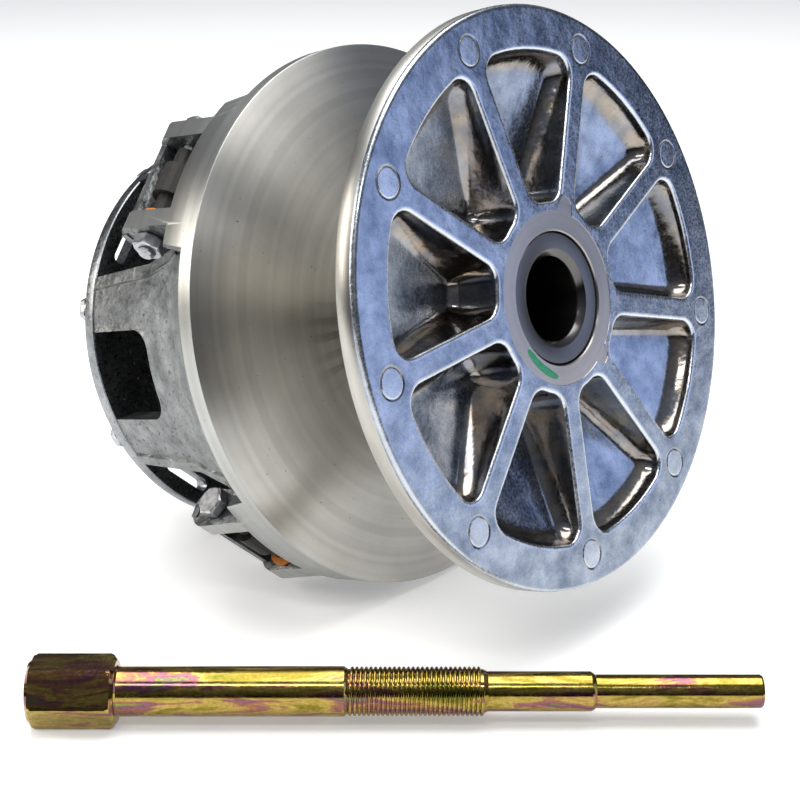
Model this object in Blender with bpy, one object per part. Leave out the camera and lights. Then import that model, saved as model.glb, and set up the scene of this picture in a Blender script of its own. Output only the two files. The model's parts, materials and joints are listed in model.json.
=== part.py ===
"""Drive clutch of a belt gearbox (CVT), with the puller bolt that takes it off the crankshaft.

The clutch is modelled along its own axis: local Z runs from the cover (negative) to the ribbed
outer face of the fixed sheave (zero). An empty then lays it on the rims of its movable sheave and
its cover, which pitches the axis up, and the puller bolt lies on the same surface in front.
"""

from math import asin, atan2, cos, hypot, pi, radians, sin, sqrt, tan

import bmesh
import bpy
from mathutils import Matrix, Vector

MM = 0.001

# Fits, in millimetres
GAP = 0.3  # between pieces that touch
RUN = 0.35  # round a piece that slides or turns

# Belt sheaves
SHEAVE_R = 100.0
CONE_DEG = 14.0  # each belt face leans this far from square to the axis
RIM_CHAMFER = 0.8
FIXED_RIM_T = 8.0  # outer face to the belt face's edge, at the rim
BELT_MOUTH = 67.3  # between the belt faces at the rim, with the clutch open
TRAVEL = 25.0  # how far the movable sheave closes

# Pockets cast into the fixed sheave's outer face
POCKETS = 9
POCKET_PHASE_DEG = 3.95
POCKET_RIM = 14.5  # from the pockets out to the sheave's edge
POCKET_IN_R = 32.0
SPOKE_T = 6.5
FIXED_WALL = 5.5
POCKET_CORNER = 7.5
POCKET_DRAFT = 2.5

# Post: the steel tube that everything sits on
POST_FACE_R = 22.75
POST_JOURNAL_R = 21.0
POST_SEAT_R = 20.2
POST_TAIL_R = 16.5
POST_RECESS = 1.0
POST_SHOULDER = 28.5
TAPER_MOUTH_R = 14.6
TAPER_END_R = 11.0
TAPER_DEPTH = 72.0
TAPPED_R = 7.3
TAPPED_L = 26.0
CLEAR_R = 8.5
MOUTH_CHAMFER = 1.3

# Movable sheave, its towers and its rim lugs
TOWERS = 4
BAY_PHASE_DEG = 45.55
MOVE_WALL = 8.0
MOVE_HUB_R = 32.0
HUB_FILLET = 3.0
DISH_OUT = 12.0  # from a tower's inner face out to the corner behind the belt face
MOVE_HUB_L = 24.0
BUSH_T = 2.6
BAND_T = 6.5  # width of the turned rim between the lugs
FLARE = ((3.0, 10.0), (9.0, 18.0), (15.0, 30.0), (20.5, 48.0))  # in from the rim, behind its edge
INNER_FLARE = ((3.0, 38.0), (10.0, 18.0))  # out from a tower's inner face, behind the rim's edge
LUG_T = 17.0  # width of the turned rim at the lugs
LUG_HALF_DEG = 19.0
LUG_DEEP = 16.0
TOWER_IN = 24.0  # from the sheave's edge in to a tower's outer face
TOWER_WALL = 10.0
TOWER_L = 85.0  # from the rim edge back to the cover
BAY_W = 44.0
TOWER_LEG_W = 18.9  # beside a window
WINDOW_L = 34.0
WINDOW_CORNER = 8.0

# Flyweights, their pivots and the rollers that they press on
PIVOT_IN = 9.0  # from the sheave's edge in to a pivot
PIVOT_BACK = 31.0  # behind the movable sheave's rim edge
PIVOT_BOLT_R = 3.0
WEIGHT_NUT_T = 4.5
EAR_IN = 15.5
EAR_OUT = BAY_W / 2 + 0.5  # the ears start just inside the bay's walls
EAR_R = 7.5
RIB_BACK = 12.0  # the ears' ends, behind the pivot
RIB_T = 3.0  # of the rib that joins two ears
RIB_W = 5.0
WEIGHT_W = 12.0
WEIGHT_BARREL_R = 6.5
WEIGHT_T = 8.0
WEIGHT_TIP_CLEAR = 4.5  # from a flyweight's tip to the spider's hub
WEIGHT_REST_DEG = -5.0
WEIGHT_END_LIFT = 8.62  # from the arm's middle line to the roller's, with the clutch closed
WEIGHT_BUSH_R = 4.2
WASHER_R = 6.5
WASHER_T = 1.5
ROLLER_R = 7.0
ROLLER_IN = 5.0  # from a tower's inner face in to a roller, so that its buttons run on the tower
ROLLER_BACK = 8.4  # behind the flyweights' pivots, with the clutch open
ROLLER_PIN_R = 3.0
ROLLER_BUSH_R = 4.3

# Spider, with the guide buttons that run on the towers
SPIDER_CLEAR = 3.57  # behind the movable sheave's hub, with the clutch open
SPIDER_T = 18.0
SPRING_CLEAR = 0.8  # from the coil out to a leg
LEG_ROOT_T = 5.0
LEG_W = 26.0
LEG_TIP = 5.5  # from a roller's pin out to its leg's end
LEG_WEB = 5.5
BUTTON_R = 7.5
JAM_NUT_AF = 46.0
JAM_NUT_T = 8.0

# Cover and drive spring
COVER_LIP = 0.3  # how far the cover stands out past the towers
COVER_T = 6.0
COVER_CHAMFER = 1.0
COVER_DOME_R = 40.0
COVER_DOME = 10.0
COVER_HUB_L = 8.0
COVER_SLOT_IN = 9.0  # from the cover's edge in to the middle of a slot
COVER_SLOT_L = 22.0
COVER_SLOT_W = 5.0
SCREW_IN = 5.5  # from a tower's outer face in to a screw
SCREW_R = 3.0
SCREW_HEAD_T = 4.0
SCREW_HEAD_AF = 10.0
SCREW_L = 20.0
SPRING_R = 31.5
SPRING_WIRE_R = 2.7
SPRING_TURNS = 5.5

# Puller bolt
PULLER_AF = 21.0
PULLER_HEAD_L = 28.0
PULLER_SHANK_R = 8.0
PULLER_SHANK_L = 73.0
PULLER_THREAD_L = 45.5
PULLER_PILOT_R = 6.4
PULLER_PILOT_L = 34.5
PULLER_TIP_R = 5.4
PULLER_TIP_L = 53.5
PULLER_CHAMFER = 1.5
PULLER_HEAD_EDGE = 1.2
PULLER_YAW_DEG = 40.5
PULLER_OUT = 77.2  # square distance from the clutch face's centre, seen from above
PULLER_HEAD_BACK = 172.8  # its head end, measured back along it from the point square to that centre

# Facets
ROUND = 60  # the sheaves and the cover
MIDDLE = 36  # what sits on the post
HEXED = 24  # the puller bolt
SMALL = 12  # pins, rollers and screws

# Places out from the axis, from the values above
POCKET_OUT_R = SHEAVE_R - POCKET_RIM
TOWER_OUT_R = SHEAVE_R - TOWER_IN
TOWER_IN_R = TOWER_OUT_R - TOWER_WALL
PIVOT_R = SHEAVE_R - PIVOT_IN
SPIDER_HUB_R = SPRING_R + SPRING_WIRE_R + SPRING_CLEAR + LEG_ROOT_T
ROLLER_AT_R = TOWER_IN_R - ROLLER_IN
WEIGHT_L = PIVOT_R - SPIDER_HUB_R - WEIGHT_TIP_CLEAR
LEG_TIP_R = ROLLER_AT_R + LEG_TIP
COVER_R = TOWER_OUT_R + COVER_LIP
COVER_SLOT_R = COVER_R - COVER_SLOT_IN
SCREW_AT_R = TOWER_OUT_R - SCREW_IN
MOVE_BORE_R = POST_JOURNAL_R + RUN + BUSH_T + GAP

# Angles of a tower, from its middle
TOWER_HALF = pi / TOWERS - asin(BAY_W / 2 / TOWER_OUT_R)
WINDOW_W = 2 * (TOWER_OUT_R * sin(TOWER_HALF) - TOWER_LEG_W)
SCREW_OFF = (asin(WINDOW_W / 2 / SCREW_AT_R) + pi / TOWERS - asin(BAY_W / 2 / SCREW_AT_R)) / 2

# Places along the axis, from the values above
SLOPE = tan(radians(CONE_DEG))
MOVE_Z = -(FIXED_RIM_T + BELT_MOUTH)
PIVOT_Z = MOVE_Z - PIVOT_BACK
TOWER_Z = MOVE_Z - TOWER_L
COVER_IN_Z = TOWER_Z - GAP
COVER_OUT_Z = COVER_IN_Z - COVER_T
COVER_REST_Z = COVER_OUT_Z + COVER_CHAMFER
DOME_IN_Z = COVER_IN_Z - COVER_DOME
POST_END_Z = DOME_IN_Z - COVER_T - COVER_HUB_L - 4.0
MOVE_HUB_Z = MOVE_Z + (SHEAVE_R - MOVE_BORE_R) * SLOPE - MOVE_HUB_L
SPIDER_Z = MOVE_HUB_Z - SPIDER_CLEAR
SPIDER_BACK_Z = SPIDER_Z - SPIDER_T
ROLLER_Z = PIVOT_Z - ROLLER_BACK

# Swing of a flyweight while the clutch closes: as far as the roller's way round its pivot
ROLLER_END = (PIVOT_R - ROLLER_AT_R, ROLLER_BACK + TRAVEL)
WEIGHT_SWING = atan2(ROLLER_END[1], ROLLER_END[0]) - asin(WEIGHT_END_LIFT / hypot(*ROLLER_END))
WEIGHT_SWING -= radians(WEIGHT_REST_DEG)


# Empties that carry the pieces


def empty(name, parent=None, matrix=None):
    obj = bpy.data.objects.new(name, None)
    obj.empty_display_size = 0.03
    bpy.context.collection.objects.link(obj)
    obj.parent = parent
    obj.matrix_local = matrix or Matrix()
    return obj


def turned_about_axis(angle):
    return Matrix.Rotation(angle, 4, "Z")


# Meshes


def material(name, colour, metallic, roughness):
    made = bpy.data.materials.new(name)
    made.use_nodes = True
    shader = made.node_tree.nodes["Principled BSDF"]
    shader.inputs["Base Color"].default_value = (*colour, 1)
    shader.inputs["Metallic"].default_value = metallic
    shader.inputs["Roughness"].default_value = roughness
    made.diffuse_color = (*colour, 1)
    return made


def add(name, mesh, parent, finish, matrix=None):
    """A named object that carries the mesh under its parent empty."""
    obj = bpy.data.objects.new(name, mesh)
    bpy.context.collection.objects.link(obj)
    obj.parent = parent
    obj.matrix_local = matrix or Matrix()
    if finish and not mesh.materials:
        mesh.materials.append(finish)
    return obj


def mesh_from(name, points, faces):
    """A mesh in metres from points in millimetres, with its faces turned outwards."""
    mesh = bpy.data.meshes.new(name)
    mesh.from_pydata([Vector(p) * MM for p in points], [], faces)
    work = bmesh.new()
    work.from_mesh(mesh)
    bmesh.ops.recalc_face_normals(work, faces=work.faces)
    work.to_mesh(mesh)
    work.free()
    mesh.shade_smooth()
    mesh.set_sharp_from_angle(angle=radians(35))
    return mesh


def stack(name, rings, closed=False):
    """Skins a row of rings that all have the same number of points. Open rows get end caps."""
    count = len(rings[0])
    points = [p for ring in rings for p in ring]
    faces = []
    last = len(rings) if closed else len(rings) - 1
    for i in range(last):
        near, far = i * count, (i + 1) % len(rings) * count
        for j in range(count):
            k = (j + 1) % count
            faces.append((near + j, near + k, far + k, far + j))
    if not closed:
        faces.append(tuple(range(count))[::-1])
        faces.append(tuple(range((len(rings) - 1) * count, len(rings) * count)))
    return mesh_from(name, points, faces)


def circle(radius, z, count, phase=0.5):
    """Points of a ring round Z. A phase of a half puts a flat, not a corner, at the lowest place."""
    turns = [(k + phase) * 2 * pi / count for k in range(count)]
    return [(radius * cos(a), radius * sin(a), z) for a in turns]


def lathe(name, profile, count=SMALL, bored=True):
    """Turns (radius, z) points round Z. A bored profile is a closed loop that misses the axis."""
    return stack(name, [circle(r, z, count) for r, z in profile], closed=bored)


def hexagon(across_flats, z, count=SMALL, round_r=None):
    """A hexagon as a ring of points, cut to a circle of round_r where one is given."""
    ring = []
    for k in range(count):
        a = k * 2 * pi / count
        off = (a + pi / 6) % (pi / 3) - pi / 6
        reach = across_flats / 2 / cos(off)
        reach = min(reach, round_r) if round_r else reach
        ring.append((reach * cos(a), reach * sin(a), z))
    return ring


def arc(centre, radius, start, end, steps):
    turns = [start + (end - start) * k / steps for k in range(steps + 1)]
    return [(centre[0] + radius * cos(a), centre[1] + radius * sin(a)) for a in turns]


def rounded(corners, steps=4):
    """An outline whose (x, y, radius) corners are filleted. A radius of zero keeps the corner."""
    outline = []
    for i, (x, y, radius) in enumerate(corners):
        here = Vector((x, y))
        back = Vector(corners[i - 1][:2]) - here
        ahead = Vector(corners[(i + 1) % len(corners)][:2]) - here
        if not radius:
            outline.append((x, y))
            continue
        half = back.angle(ahead) / 2
        reach = min(radius / tan(half), 0.49 * min(back.length, ahead.length))
        radius = reach * tan(half)
        centre = here + (back.normalized() + ahead.normalized()).normalized() * radius / sin(half)
        first = here + back.normalized() * reach - centre
        turn = Vector((1, 0)).angle_signed(first) * -1
        sweep = first.angle_signed(here + ahead.normalized() * reach - centre) * -1
        outline += arc(centre, radius, turn, turn + sweep, steps)
    return outline


def extruded(name, outline, low, high, along="Z"):
    """A prism of an outline. Along Y, the outline's pairs are (x, z)."""
    if along == "Z":
        rings = [[(x, y, z) for x, y in outline] for z in (low, high)]
    else:
        rings = [[(x, y, z) for x, z in outline] for y in (low, high)]
    return stack(name, rings)


def box_outline(x0, x1, y0, y1):
    return [(x0, y0), (x1, y0), (x1, y1), (x0, y1)]


def joined(name, meshes):
    """One mesh that holds copies of others, each given as (mesh, matrix)."""
    work = bmesh.new()
    for mesh, matrix in meshes:
        start = len(work.verts)
        work.from_mesh(mesh)
        work.verts.ensure_lookup_table()
        bmesh.ops.transform(work, matrix=matrix, verts=work.verts[start:])
    made = bpy.data.meshes.new(name)
    work.to_mesh(made)
    work.free()
    return made


def ring_of(name, mesh, count, first_angle):
    """Copies of a mesh spaced evenly round the axis."""
    step = 2 * pi / count
    return joined(name, [(mesh, turned_about_axis(first_angle + k * step)) for k in range(count)])


def boolean(obj, mesh, operation):
    """Joins a mesh to the object, or cuts it away, and keeps the tool as a hidden wire object."""
    tool = add(f"{mesh.name}_tool", mesh, obj.parent, None, obj.matrix_local)
    tool.hide_render = True
    tool.display_type = "WIRE"
    modifier = obj.modifiers.new(mesh.name, "BOOLEAN")
    modifier.operation = operation
    modifier.object = tool
    return tool


def crosswise(x, z, y=0.0):
    """Turns a piece made along Z to lie along Y, at a place in millimetres."""
    return Matrix.Translation(Vector((x, y, z)) * MM) @ Matrix.Rotation(-pi / 2, 4, "X")


# Fixed sheave


def pocket_outline(inset):
    """The pocket's outline, between two spokes with parallel sides, drawn in by a distance."""
    half = pi / POCKETS
    off = SPOKE_T / 2 + inset

    def on_side(radius, side):
        swing = asin(off / radius)
        return radius * cos(half - swing), side * radius * sin(half - swing)

    inner, outer = POCKET_IN_R + inset, POCKET_OUT_R - inset
    corner = POCKET_CORNER - inset / 2
    reach = half - asin(off / outer)
    rim = [(outer * cos(a), outer * sin(a), 0) for a in (-reach / 2, 0, reach / 2)]
    corners = [(*on_side(inner, 1), corner), (*on_side(inner, -1), corner)]
    corners += [(*on_side(outer, -1), corner), *rim, (*on_side(outer, 1), corner)]
    return rounded(corners, steps=3)


def belt_face(radius):
    """How far the belt face at this radius lies behind the same face at the rim."""
    return (SHEAVE_R - radius) * SLOPE


def pocket_cutter():
    top, mid, low = (pocket_outline(d) for d in (0, POCKET_DRAFT / 2, POCKET_DRAFT + 2))

    def floor(x, y, lift):
        return -FIXED_RIM_T - belt_face(hypot(x, y)) + FIXED_WALL + lift

    rings = [[(x, y, 2.0) for x, y in top], [(x, y, 0.0) for x, y in top]]
    rings.append([(x, y, floor(x, y, 3.0)) for x, y in mid])
    rings.append([(x, y, floor(x, y, 0.0)) for x, y in low])
    return stack("pocket", rings)


def fixed_sheave(parent):
    bore = POST_FACE_R + GAP
    profile = [
        (bore, 0.0),
        (SHEAVE_R - RIM_CHAMFER, 0.0),
        (SHEAVE_R, -2 * RIM_CHAMFER),
        (SHEAVE_R, -FIXED_RIM_T),
        (bore, -FIXED_RIM_T - belt_face(bore)),
    ]
    sheave = add("fixed_sheave", lathe("fixed_sheave", profile, ROUND), parent, CAST)
    pockets = ring_of("pockets", pocket_cutter(), POCKETS, radians(POCKET_PHASE_DEG))
    boolean(sheave, pockets, "DIFFERENCE")


def post(parent):
    end = POST_END_Z
    tail = SPIDER_BACK_Z - GAP
    taper_z = -TAPER_DEPTH
    tapped_z = taper_z - TAPPED_L
    slope = (TAPER_MOUTH_R - TAPER_END_R) / TAPER_DEPTH
    profile = [
        (TAPER_MOUTH_R + MOUTH_CHAMFER, -POST_RECESS),
        (POST_FACE_R, -POST_RECESS),
        (POST_FACE_R, -POST_SHOULDER),
        (POST_JOURNAL_R, -POST_SHOULDER - 1),
        (POST_JOURNAL_R, SPIDER_Z),
        (POST_SEAT_R, SPIDER_Z),
        (POST_SEAT_R, tail - JAM_NUT_T),
        (POST_TAIL_R, tail - JAM_NUT_T - 2),
        (POST_TAIL_R, end + 1),
        (POST_TAIL_R - 1, end),
        (CLEAR_R, end),
        (CLEAR_R, tapped_z),
        (TAPPED_R, tapped_z),
        (TAPPED_R, taper_z),
        (TAPER_END_R, taper_z),
        (TAPER_MOUTH_R - slope * 3, -POST_RECESS - 3),
    ]
    add("post_shaft", lathe("post_shaft", profile, MIDDLE), parent, STEEL)


# Movable sheave


def tower_shell():
    """The turned shape before the bays are cut: belt face, rim, towers and hub in one wall."""
    bore = MOVE_BORE_R
    dish = MOVE_Z - MOVE_WALL
    dish_r = TOWER_IN_R + DISH_OUT
    root_r = MOVE_HUB_R + HUB_FILLET
    return [
        (bore, MOVE_Z + belt_face(bore)),
        (SHEAVE_R, MOVE_Z),
        (SHEAVE_R, MOVE_Z - BAND_T),
        *((SHEAVE_R - inward, MOVE_Z - back) for inward, back in FLARE),
        (TOWER_OUT_R, TOWER_Z),
        (TOWER_IN_R, TOWER_Z),
        *((TOWER_IN_R + outward, MOVE_Z - back) for outward, back in INNER_FLARE),
        (dish_r, dish + belt_face(dish_r)),
        (root_r, dish + belt_face(root_r)),
        (MOVE_HUB_R, dish + belt_face(MOVE_HUB_R) - HUB_FILLET),
        (MOVE_HUB_R, MOVE_HUB_Z),
        (bore, MOVE_HUB_Z),
    ]


def rim_lug():
    """A block of the turned rim that reaches back to carry one flyweight's ears."""
    half = radians(LUG_HALF_DEG)
    steps = round(4 * half / (2 * pi / ROUND))
    outer = arc((0, 0), SHEAVE_R * cos(pi / ROUND), -half, half, steps)
    inner = arc((0, 0), SHEAVE_R - LUG_DEEP, half, -half, steps)
    rings = []
    for z, trim in ((MOVE_Z - BAND_T + 1.5, 0.0), (MOVE_Z - LUG_T, 3.0)):
        squeeze = 1 - trim / (SHEAVE_R * half)
        ring = []
        for x, y in outer + inner:
            a, r = atan2(y, x) * squeeze, hypot(x, y)
            ring.append((r * cos(a), r * sin(a), z))
        rings.append(ring)
    return stack("rim_lug", rings)


def bay_cutter():
    """Cuts the slot between two towers, from the cover end up to the rim lug."""
    low = TOWER_Z - 5
    outline = [(ROLLER_AT_R - 20, low), (SHEAVE_R + 15, low), (SHEAVE_R + 15, MOVE_Z - LUG_T)]
    outline += [(SHEAVE_R - LUG_DEEP, MOVE_Z - LUG_T), (SHEAVE_R - LUG_DEEP - 2, MOVE_Z - LUG_T + 6)]
    outline += [(ROLLER_AT_R - 20, MOVE_Z - LUG_T + 6)]
    return extruded("bay", outline, -BAY_W / 2, BAY_W / 2, along="Y")


def window_cutter():
    """Cuts the rounded window in the middle of a tower, open towards the cover."""
    half, top = WINDOW_W / 2, TOWER_Z + WINDOW_L
    corners = [(-half, TOWER_Z - 5, 0), (half, TOWER_Z - 5, 0)]
    corners += [(half, top, WINDOW_CORNER), (-half, top, WINDOW_CORNER)]
    low, high = TOWER_OUT_R - TOWER_WALL - 14, TOWER_OUT_R + 25
    outline = rounded(corners)
    return stack("window", [[(x, y, z) for y, z in outline] for x in (low, high)])


def ear_outline():
    """An ear seen along the pivot: a foot on the rim lug, and a round end over the pivot."""
    foot = MOVE_Z - LUG_T + 1.5
    outline = [(SHEAVE_R - LUG_DEEP + 1, foot), (SHEAVE_R - 2.5, foot)]
    outline += arc((PIVOT_R + 1, PIVOT_Z - RIB_BACK + EAR_R), EAR_R, radians(-5), radians(-175), 8)
    return outline


def screw_places():
    """Where the cover's screws stand round the axis: two to a tower, one in each of its legs."""
    places = []
    for k in range(2 * TOWERS):
        tower, side = k // 2, 2 * (k % 2) - 1
        angle = radians(BAY_PHASE_DEG) + (2 * tower + 1) * pi / TOWERS + side * SCREW_OFF
        places.append(turned_about_axis(angle) @ Matrix.Translation((SCREW_AT_R * MM, 0, 0)))
    return places


def moving_sheave(parent):
    sheave = add("moving_sheave", lathe("moving_sheave", tower_shell(), ROUND), parent, MACHINED)
    first = radians(BAY_PHASE_DEG)
    tower_first = first + pi / TOWERS
    boolean(sheave, ring_of("rim_lugs", rim_lug(), TOWERS, first), "UNION")
    boolean(sheave, ring_of("bays", bay_cutter(), TOWERS, first), "DIFFERENCE")
    boolean(sheave, ring_of("windows", window_cutter(), TOWERS, tower_first), "DIFFERENCE")
    ear = ear_outline()
    rib_z = PIVOT_Z - RIB_BACK + 0.8
    rib = box_outline(PIVOT_R, PIVOT_R + RIB_W, rib_z, rib_z + RIB_T)
    added = [
        extruded("ear_right", ear, EAR_IN, EAR_OUT, along="Y"),
        extruded("ear_left", ear, -EAR_OUT, -EAR_IN, along="Y"),
        extruded("rib", rib, -EAR_OUT - 0.5, EAR_OUT + 0.5, along="Y"),
    ]
    for mesh in added:
        boolean(sheave, ring_of(f"{mesh.name}s", mesh, TOWERS, first), "UNION")
    way_r = PIVOT_BOLT_R + GAP
    bolt = lathe("bolt", [(way_r, -BAY_W), (way_r, BAY_W)], SMALL, bored=False)
    laid = joined("bolt_way", [(bolt, crosswise(PIVOT_R, PIVOT_Z))])
    boolean(sheave, ring_of("bolt_ways", laid, TOWERS, first), "DIFFERENCE")
    hole_r = SCREW_R + GAP
    hole = lathe("hole", [(hole_r, TOWER_Z - 5), (hole_r, TOWER_Z + SCREW_L)], SMALL, bored=False)
    holes = [(hole, place) for place in screw_places()]
    boolean(sheave, joined("screw_holes", holes), "DIFFERENCE")
    inner, outer = POST_JOURNAL_R + RUN, POST_JOURNAL_R + RUN + BUSH_T
    top, low = MOVE_HUB_Z + MOVE_HUB_L - 2, MOVE_HUB_Z + 1
    ring = [(inner, top), (outer, top), (outer, low), (inner, low)]
    add("sheave_bush", lathe("sheave_bush", ring, MIDDLE), parent, BRONZE)


# Flyweights


def to_weight(x, z, pivot_x, pivot_z, angle):
    """A point of the bay as (along the arm, towards the roller) at a swing of the flyweight."""
    along = (-cos(angle), -sin(angle))
    across = (sin(angle), -cos(angle))
    dx, dz = x - pivot_x, z - pivot_z
    return dx * along[0] + dz * along[1], dx * across[0] + dz * across[1]


def cam_points(samples=12, steps=40):
    """The arm's face, as high as the roller leaves it over the whole travel."""
    reach = ROLLER_R + RUN
    centres = []
    for k in range(steps + 1):
        share = k / steps
        angle = radians(WEIGHT_REST_DEG) + WEIGHT_SWING * share
        centres.append(to_weight(ROLLER_AT_R, ROLLER_Z, PIVOT_R, PIVOT_Z + TRAVEL * share, angle))
    first = centres[0][0] - ROLLER_R
    face = []
    for k in range(samples + 1):
        s = first + (WEIGHT_L - 1 - first) * k / samples
        left = [t - sqrt(reach**2 - (s - c) ** 2) for c, t in centres if abs(s - c) < reach]
        face.append((s, min([*left, WEIGHT_T / 2])))
    return face


def weight_outline():
    """The flyweight in its own frame, anticlockwise round the pivot: barrel, back, tip and cam."""
    cam = cam_points()
    back = -WEIGHT_T / 2
    barrel = arc((0, 0), WEIGHT_BARREL_R, radians(62), radians(310), 12)
    tip_y = cam[-1][1]
    tip = [(WEIGHT_L - 1, back), (WEIGHT_L, (back + tip_y) / 2), (WEIGHT_L - 1, tip_y)]
    neck = [(WEIGHT_BARREL_R + 4, cam[0][1] - 1), (WEIGHT_BARREL_R - 1, cam[0][1] + 0.2)]
    return barrel + [(WEIGHT_BARREL_R + 4, back)] + tip + cam[-2::-1] + neck


def flyweight_mesh():
    """A plate with a round eye. Its pairs run along the arm and towards the roller."""
    outline = weight_outline()
    eye = WEIGHT_BUSH_R + GAP
    inner = []
    for x, y in outline:
        size = hypot(x, y)
        inner.append((x / size * eye, y / size * eye))
    half = WEIGHT_W / 2
    rings = []
    for pairs, y in ((outline, -half), (outline, half), (inner, half), (inner, -half)):
        rings.append([(-s, y, -t) for s, t in pairs])
    return stack("flyweight", rings, closed=True)


def pin_mesh(name, radius, half, chamfer=0.4):
    profile = [(radius - chamfer, -half), (radius, chamfer - half)]
    profile += [(radius, half - chamfer), (radius - chamfer, half)]
    return lathe(name, profile, SMALL, bored=False)


def tube_mesh(name, outer, inner, half):
    return lathe(name, [(inner, -half), (outer, -half), (outer, half), (inner, half)], SMALL)


def bolt_mesh(name, shank_r, across_flats, head_t, length):
    """A hexagon bolt along Z with its head's underside at zero and its shank running up."""
    corner = across_flats / sqrt(3)
    rings = [
        hexagon(across_flats, -head_t, SMALL, across_flats * 0.48),
        hexagon(across_flats, -head_t * 0.85, SMALL, corner),
        hexagon(across_flats, 0, SMALL, corner),
        circle(shank_r, 0, SMALL, 0),
        circle(shank_r, length - 0.8, SMALL, 0),
        circle(shank_r - 0.7, length, SMALL, 0),
    ]
    return stack(name, rings)


def nut_mesh(name, bore_r, across_flats, thick, count=SMALL):
    chamfered = across_flats * 0.51
    rings = [
        circle(bore_r, 0, count, 0),
        hexagon(across_flats, 0, count, chamfered),
        hexagon(across_flats, thick * 0.12, count),
        hexagon(across_flats, thick * 0.88, count),
        hexagon(across_flats, thick, count, chamfered),
        circle(bore_r, thick, count, 0),
    ]
    return stack(name, rings, closed=True)


def weights(parent, bays):
    plate = flyweight_mesh()
    bush_half = EAR_IN - WASHER_T - 2 * GAP - 0.2
    bush = tube_mesh("flyweight_bush", WEIGHT_BUSH_R, PIVOT_BOLT_R + GAP, bush_half)
    washer = tube_mesh("weight_washer", WASHER_R, PIVOT_BOLT_R + GAP, WASHER_T / 2)
    reach = EAR_OUT + GAP
    length = 2 * reach + WEIGHT_NUT_T + 2
    bolt = bolt_mesh("weight_bolt", PIVOT_BOLT_R, SCREW_HEAD_AF, SCREW_HEAD_T, length)
    nut = nut_mesh("weight_nut", PIVOT_BOLT_R + GAP, SCREW_HEAD_AF, WEIGHT_NUT_T)
    turn = Matrix.Rotation(radians(WEIGHT_REST_DEG), 4, "Y")
    place = Matrix.Translation(Vector((PIVOT_R, 0, PIVOT_Z)) * MM)
    for k, bay in enumerate(bays, 1):
        pivot = empty(f"flyweight_pivot_{k}", bay, place)
        swing = empty(f"flyweight_swing_{k}", pivot, turn.inverted())
        add(f"flyweight_{k}", plate, swing, SINTERED)
        add(f"flyweight_bush_{k}", bush, pivot, BRONZE, crosswise(0, 0))
        at = EAR_IN - GAP - WASHER_T / 2
        add(f"weight_washer_{k}", washer, pivot, ORANGE, crosswise(0, 0, at))
        add(f"weight_bolt_{k}", bolt, pivot, STEEL, crosswise(0, 0, -reach))
        add(f"weight_nut_{k}", nut, pivot, STEEL, crosswise(0, 0, reach))


# Spider, rollers and guide buttons


def spider(parent, bays):
    bore = POST_SEAT_R + GAP
    root, outside = SPIDER_HUB_R - LEG_ROOT_T, SPIDER_HUB_R
    hub = [(bore, SPIDER_Z), (outside, SPIDER_Z), (outside, SPIDER_BACK_Z), (bore, SPIDER_BACK_Z)]
    body = add("spider", lathe("spider", hub, MIDDLE), parent, IRON)
    first = radians(BAY_PHASE_DEG)
    back = ROLLER_Z - ROLLER_R - RUN - 0.5 - LEG_WEB
    front = ROLLER_Z + ROLLER_R - 1.5
    leg = [(root, SPIDER_Z - 2), (outside - 0.5, SPIDER_Z - 2), (outside + 1, front)]
    leg += [(LEG_TIP_R, front), (LEG_TIP_R, back + 4), (LEG_TIP_R - 4, back), (root, back)]
    arm = extruded("leg", leg, -LEG_W / 2, LEG_W / 2, along="Y")
    boolean(body, ring_of("legs", arm, TOWERS, first), "UNION")
    slot_in = ROLLER_AT_R - ROLLER_R - 4
    slot = box_outline(slot_in, LEG_TIP_R + 5, back + LEG_WEB, front + 5)
    half = WEIGHT_W / 2 + 1
    cut = extruded("slot", slot, -half, half, along="Y")
    boolean(body, ring_of("slots", cut, TOWERS, first), "DIFFERENCE")
    way_r = ROLLER_PIN_R + GAP
    way = lathe("way", [(way_r, -LEG_W), (way_r, LEG_W)], SMALL, bored=False)
    laid = joined("pin_way", [(way, crosswise(ROLLER_AT_R, ROLLER_Z))])
    boolean(body, ring_of("pin_ways", laid, TOWERS, first), "DIFFERENCE")
    seat = SPIDER_BACK_Z - GAP
    nut = nut_mesh("spider_nut", bore, JAM_NUT_AF, JAM_NUT_T, MIDDLE)
    add("spider_nut", nut, parent, STEEL, Matrix.Translation((0, 0, (seat - JAM_NUT_T) * MM)))

    pin = pin_mesh("roller_pin", ROLLER_PIN_R, LEG_W / 2 - 0.1)
    roller = tube_mesh("roller", ROLLER_R, ROLLER_BUSH_R + GAP, WEIGHT_W / 2)
    bush = tube_mesh("roller_bush", ROLLER_BUSH_R, ROLLER_PIN_R + GAP, WEIGHT_W / 2)
    button_t = (BAY_W - LEG_W) / 2 - 2 * GAP
    button = pin_mesh("guide_button", BUTTON_R, button_t / 2, 1.0)
    offset = LEG_W / 2 + GAP + button_t / 2
    place = Matrix.Translation(Vector((ROLLER_AT_R, 0, ROLLER_Z)) * MM)
    for k, bay in enumerate(bays, 1):
        centre = empty(f"roller_centre_{k}", bay, place)
        add(f"roller_pin_{k}", pin, centre, STEEL, crosswise(0, 0))
        add(f"roller_{k}", roller, centre, STEEL, crosswise(0, 0))
        add(f"roller_bush_{k}", bush, centre, BRONZE, crosswise(0, 0))
        for side, number in ((-1, 2 * k - 1), (1, 2 * k)):
            add(f"guide_button_{number}", button, centre, PLASTIC, crosswise(0, 0, side * offset))


# Cover and drive spring


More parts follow.
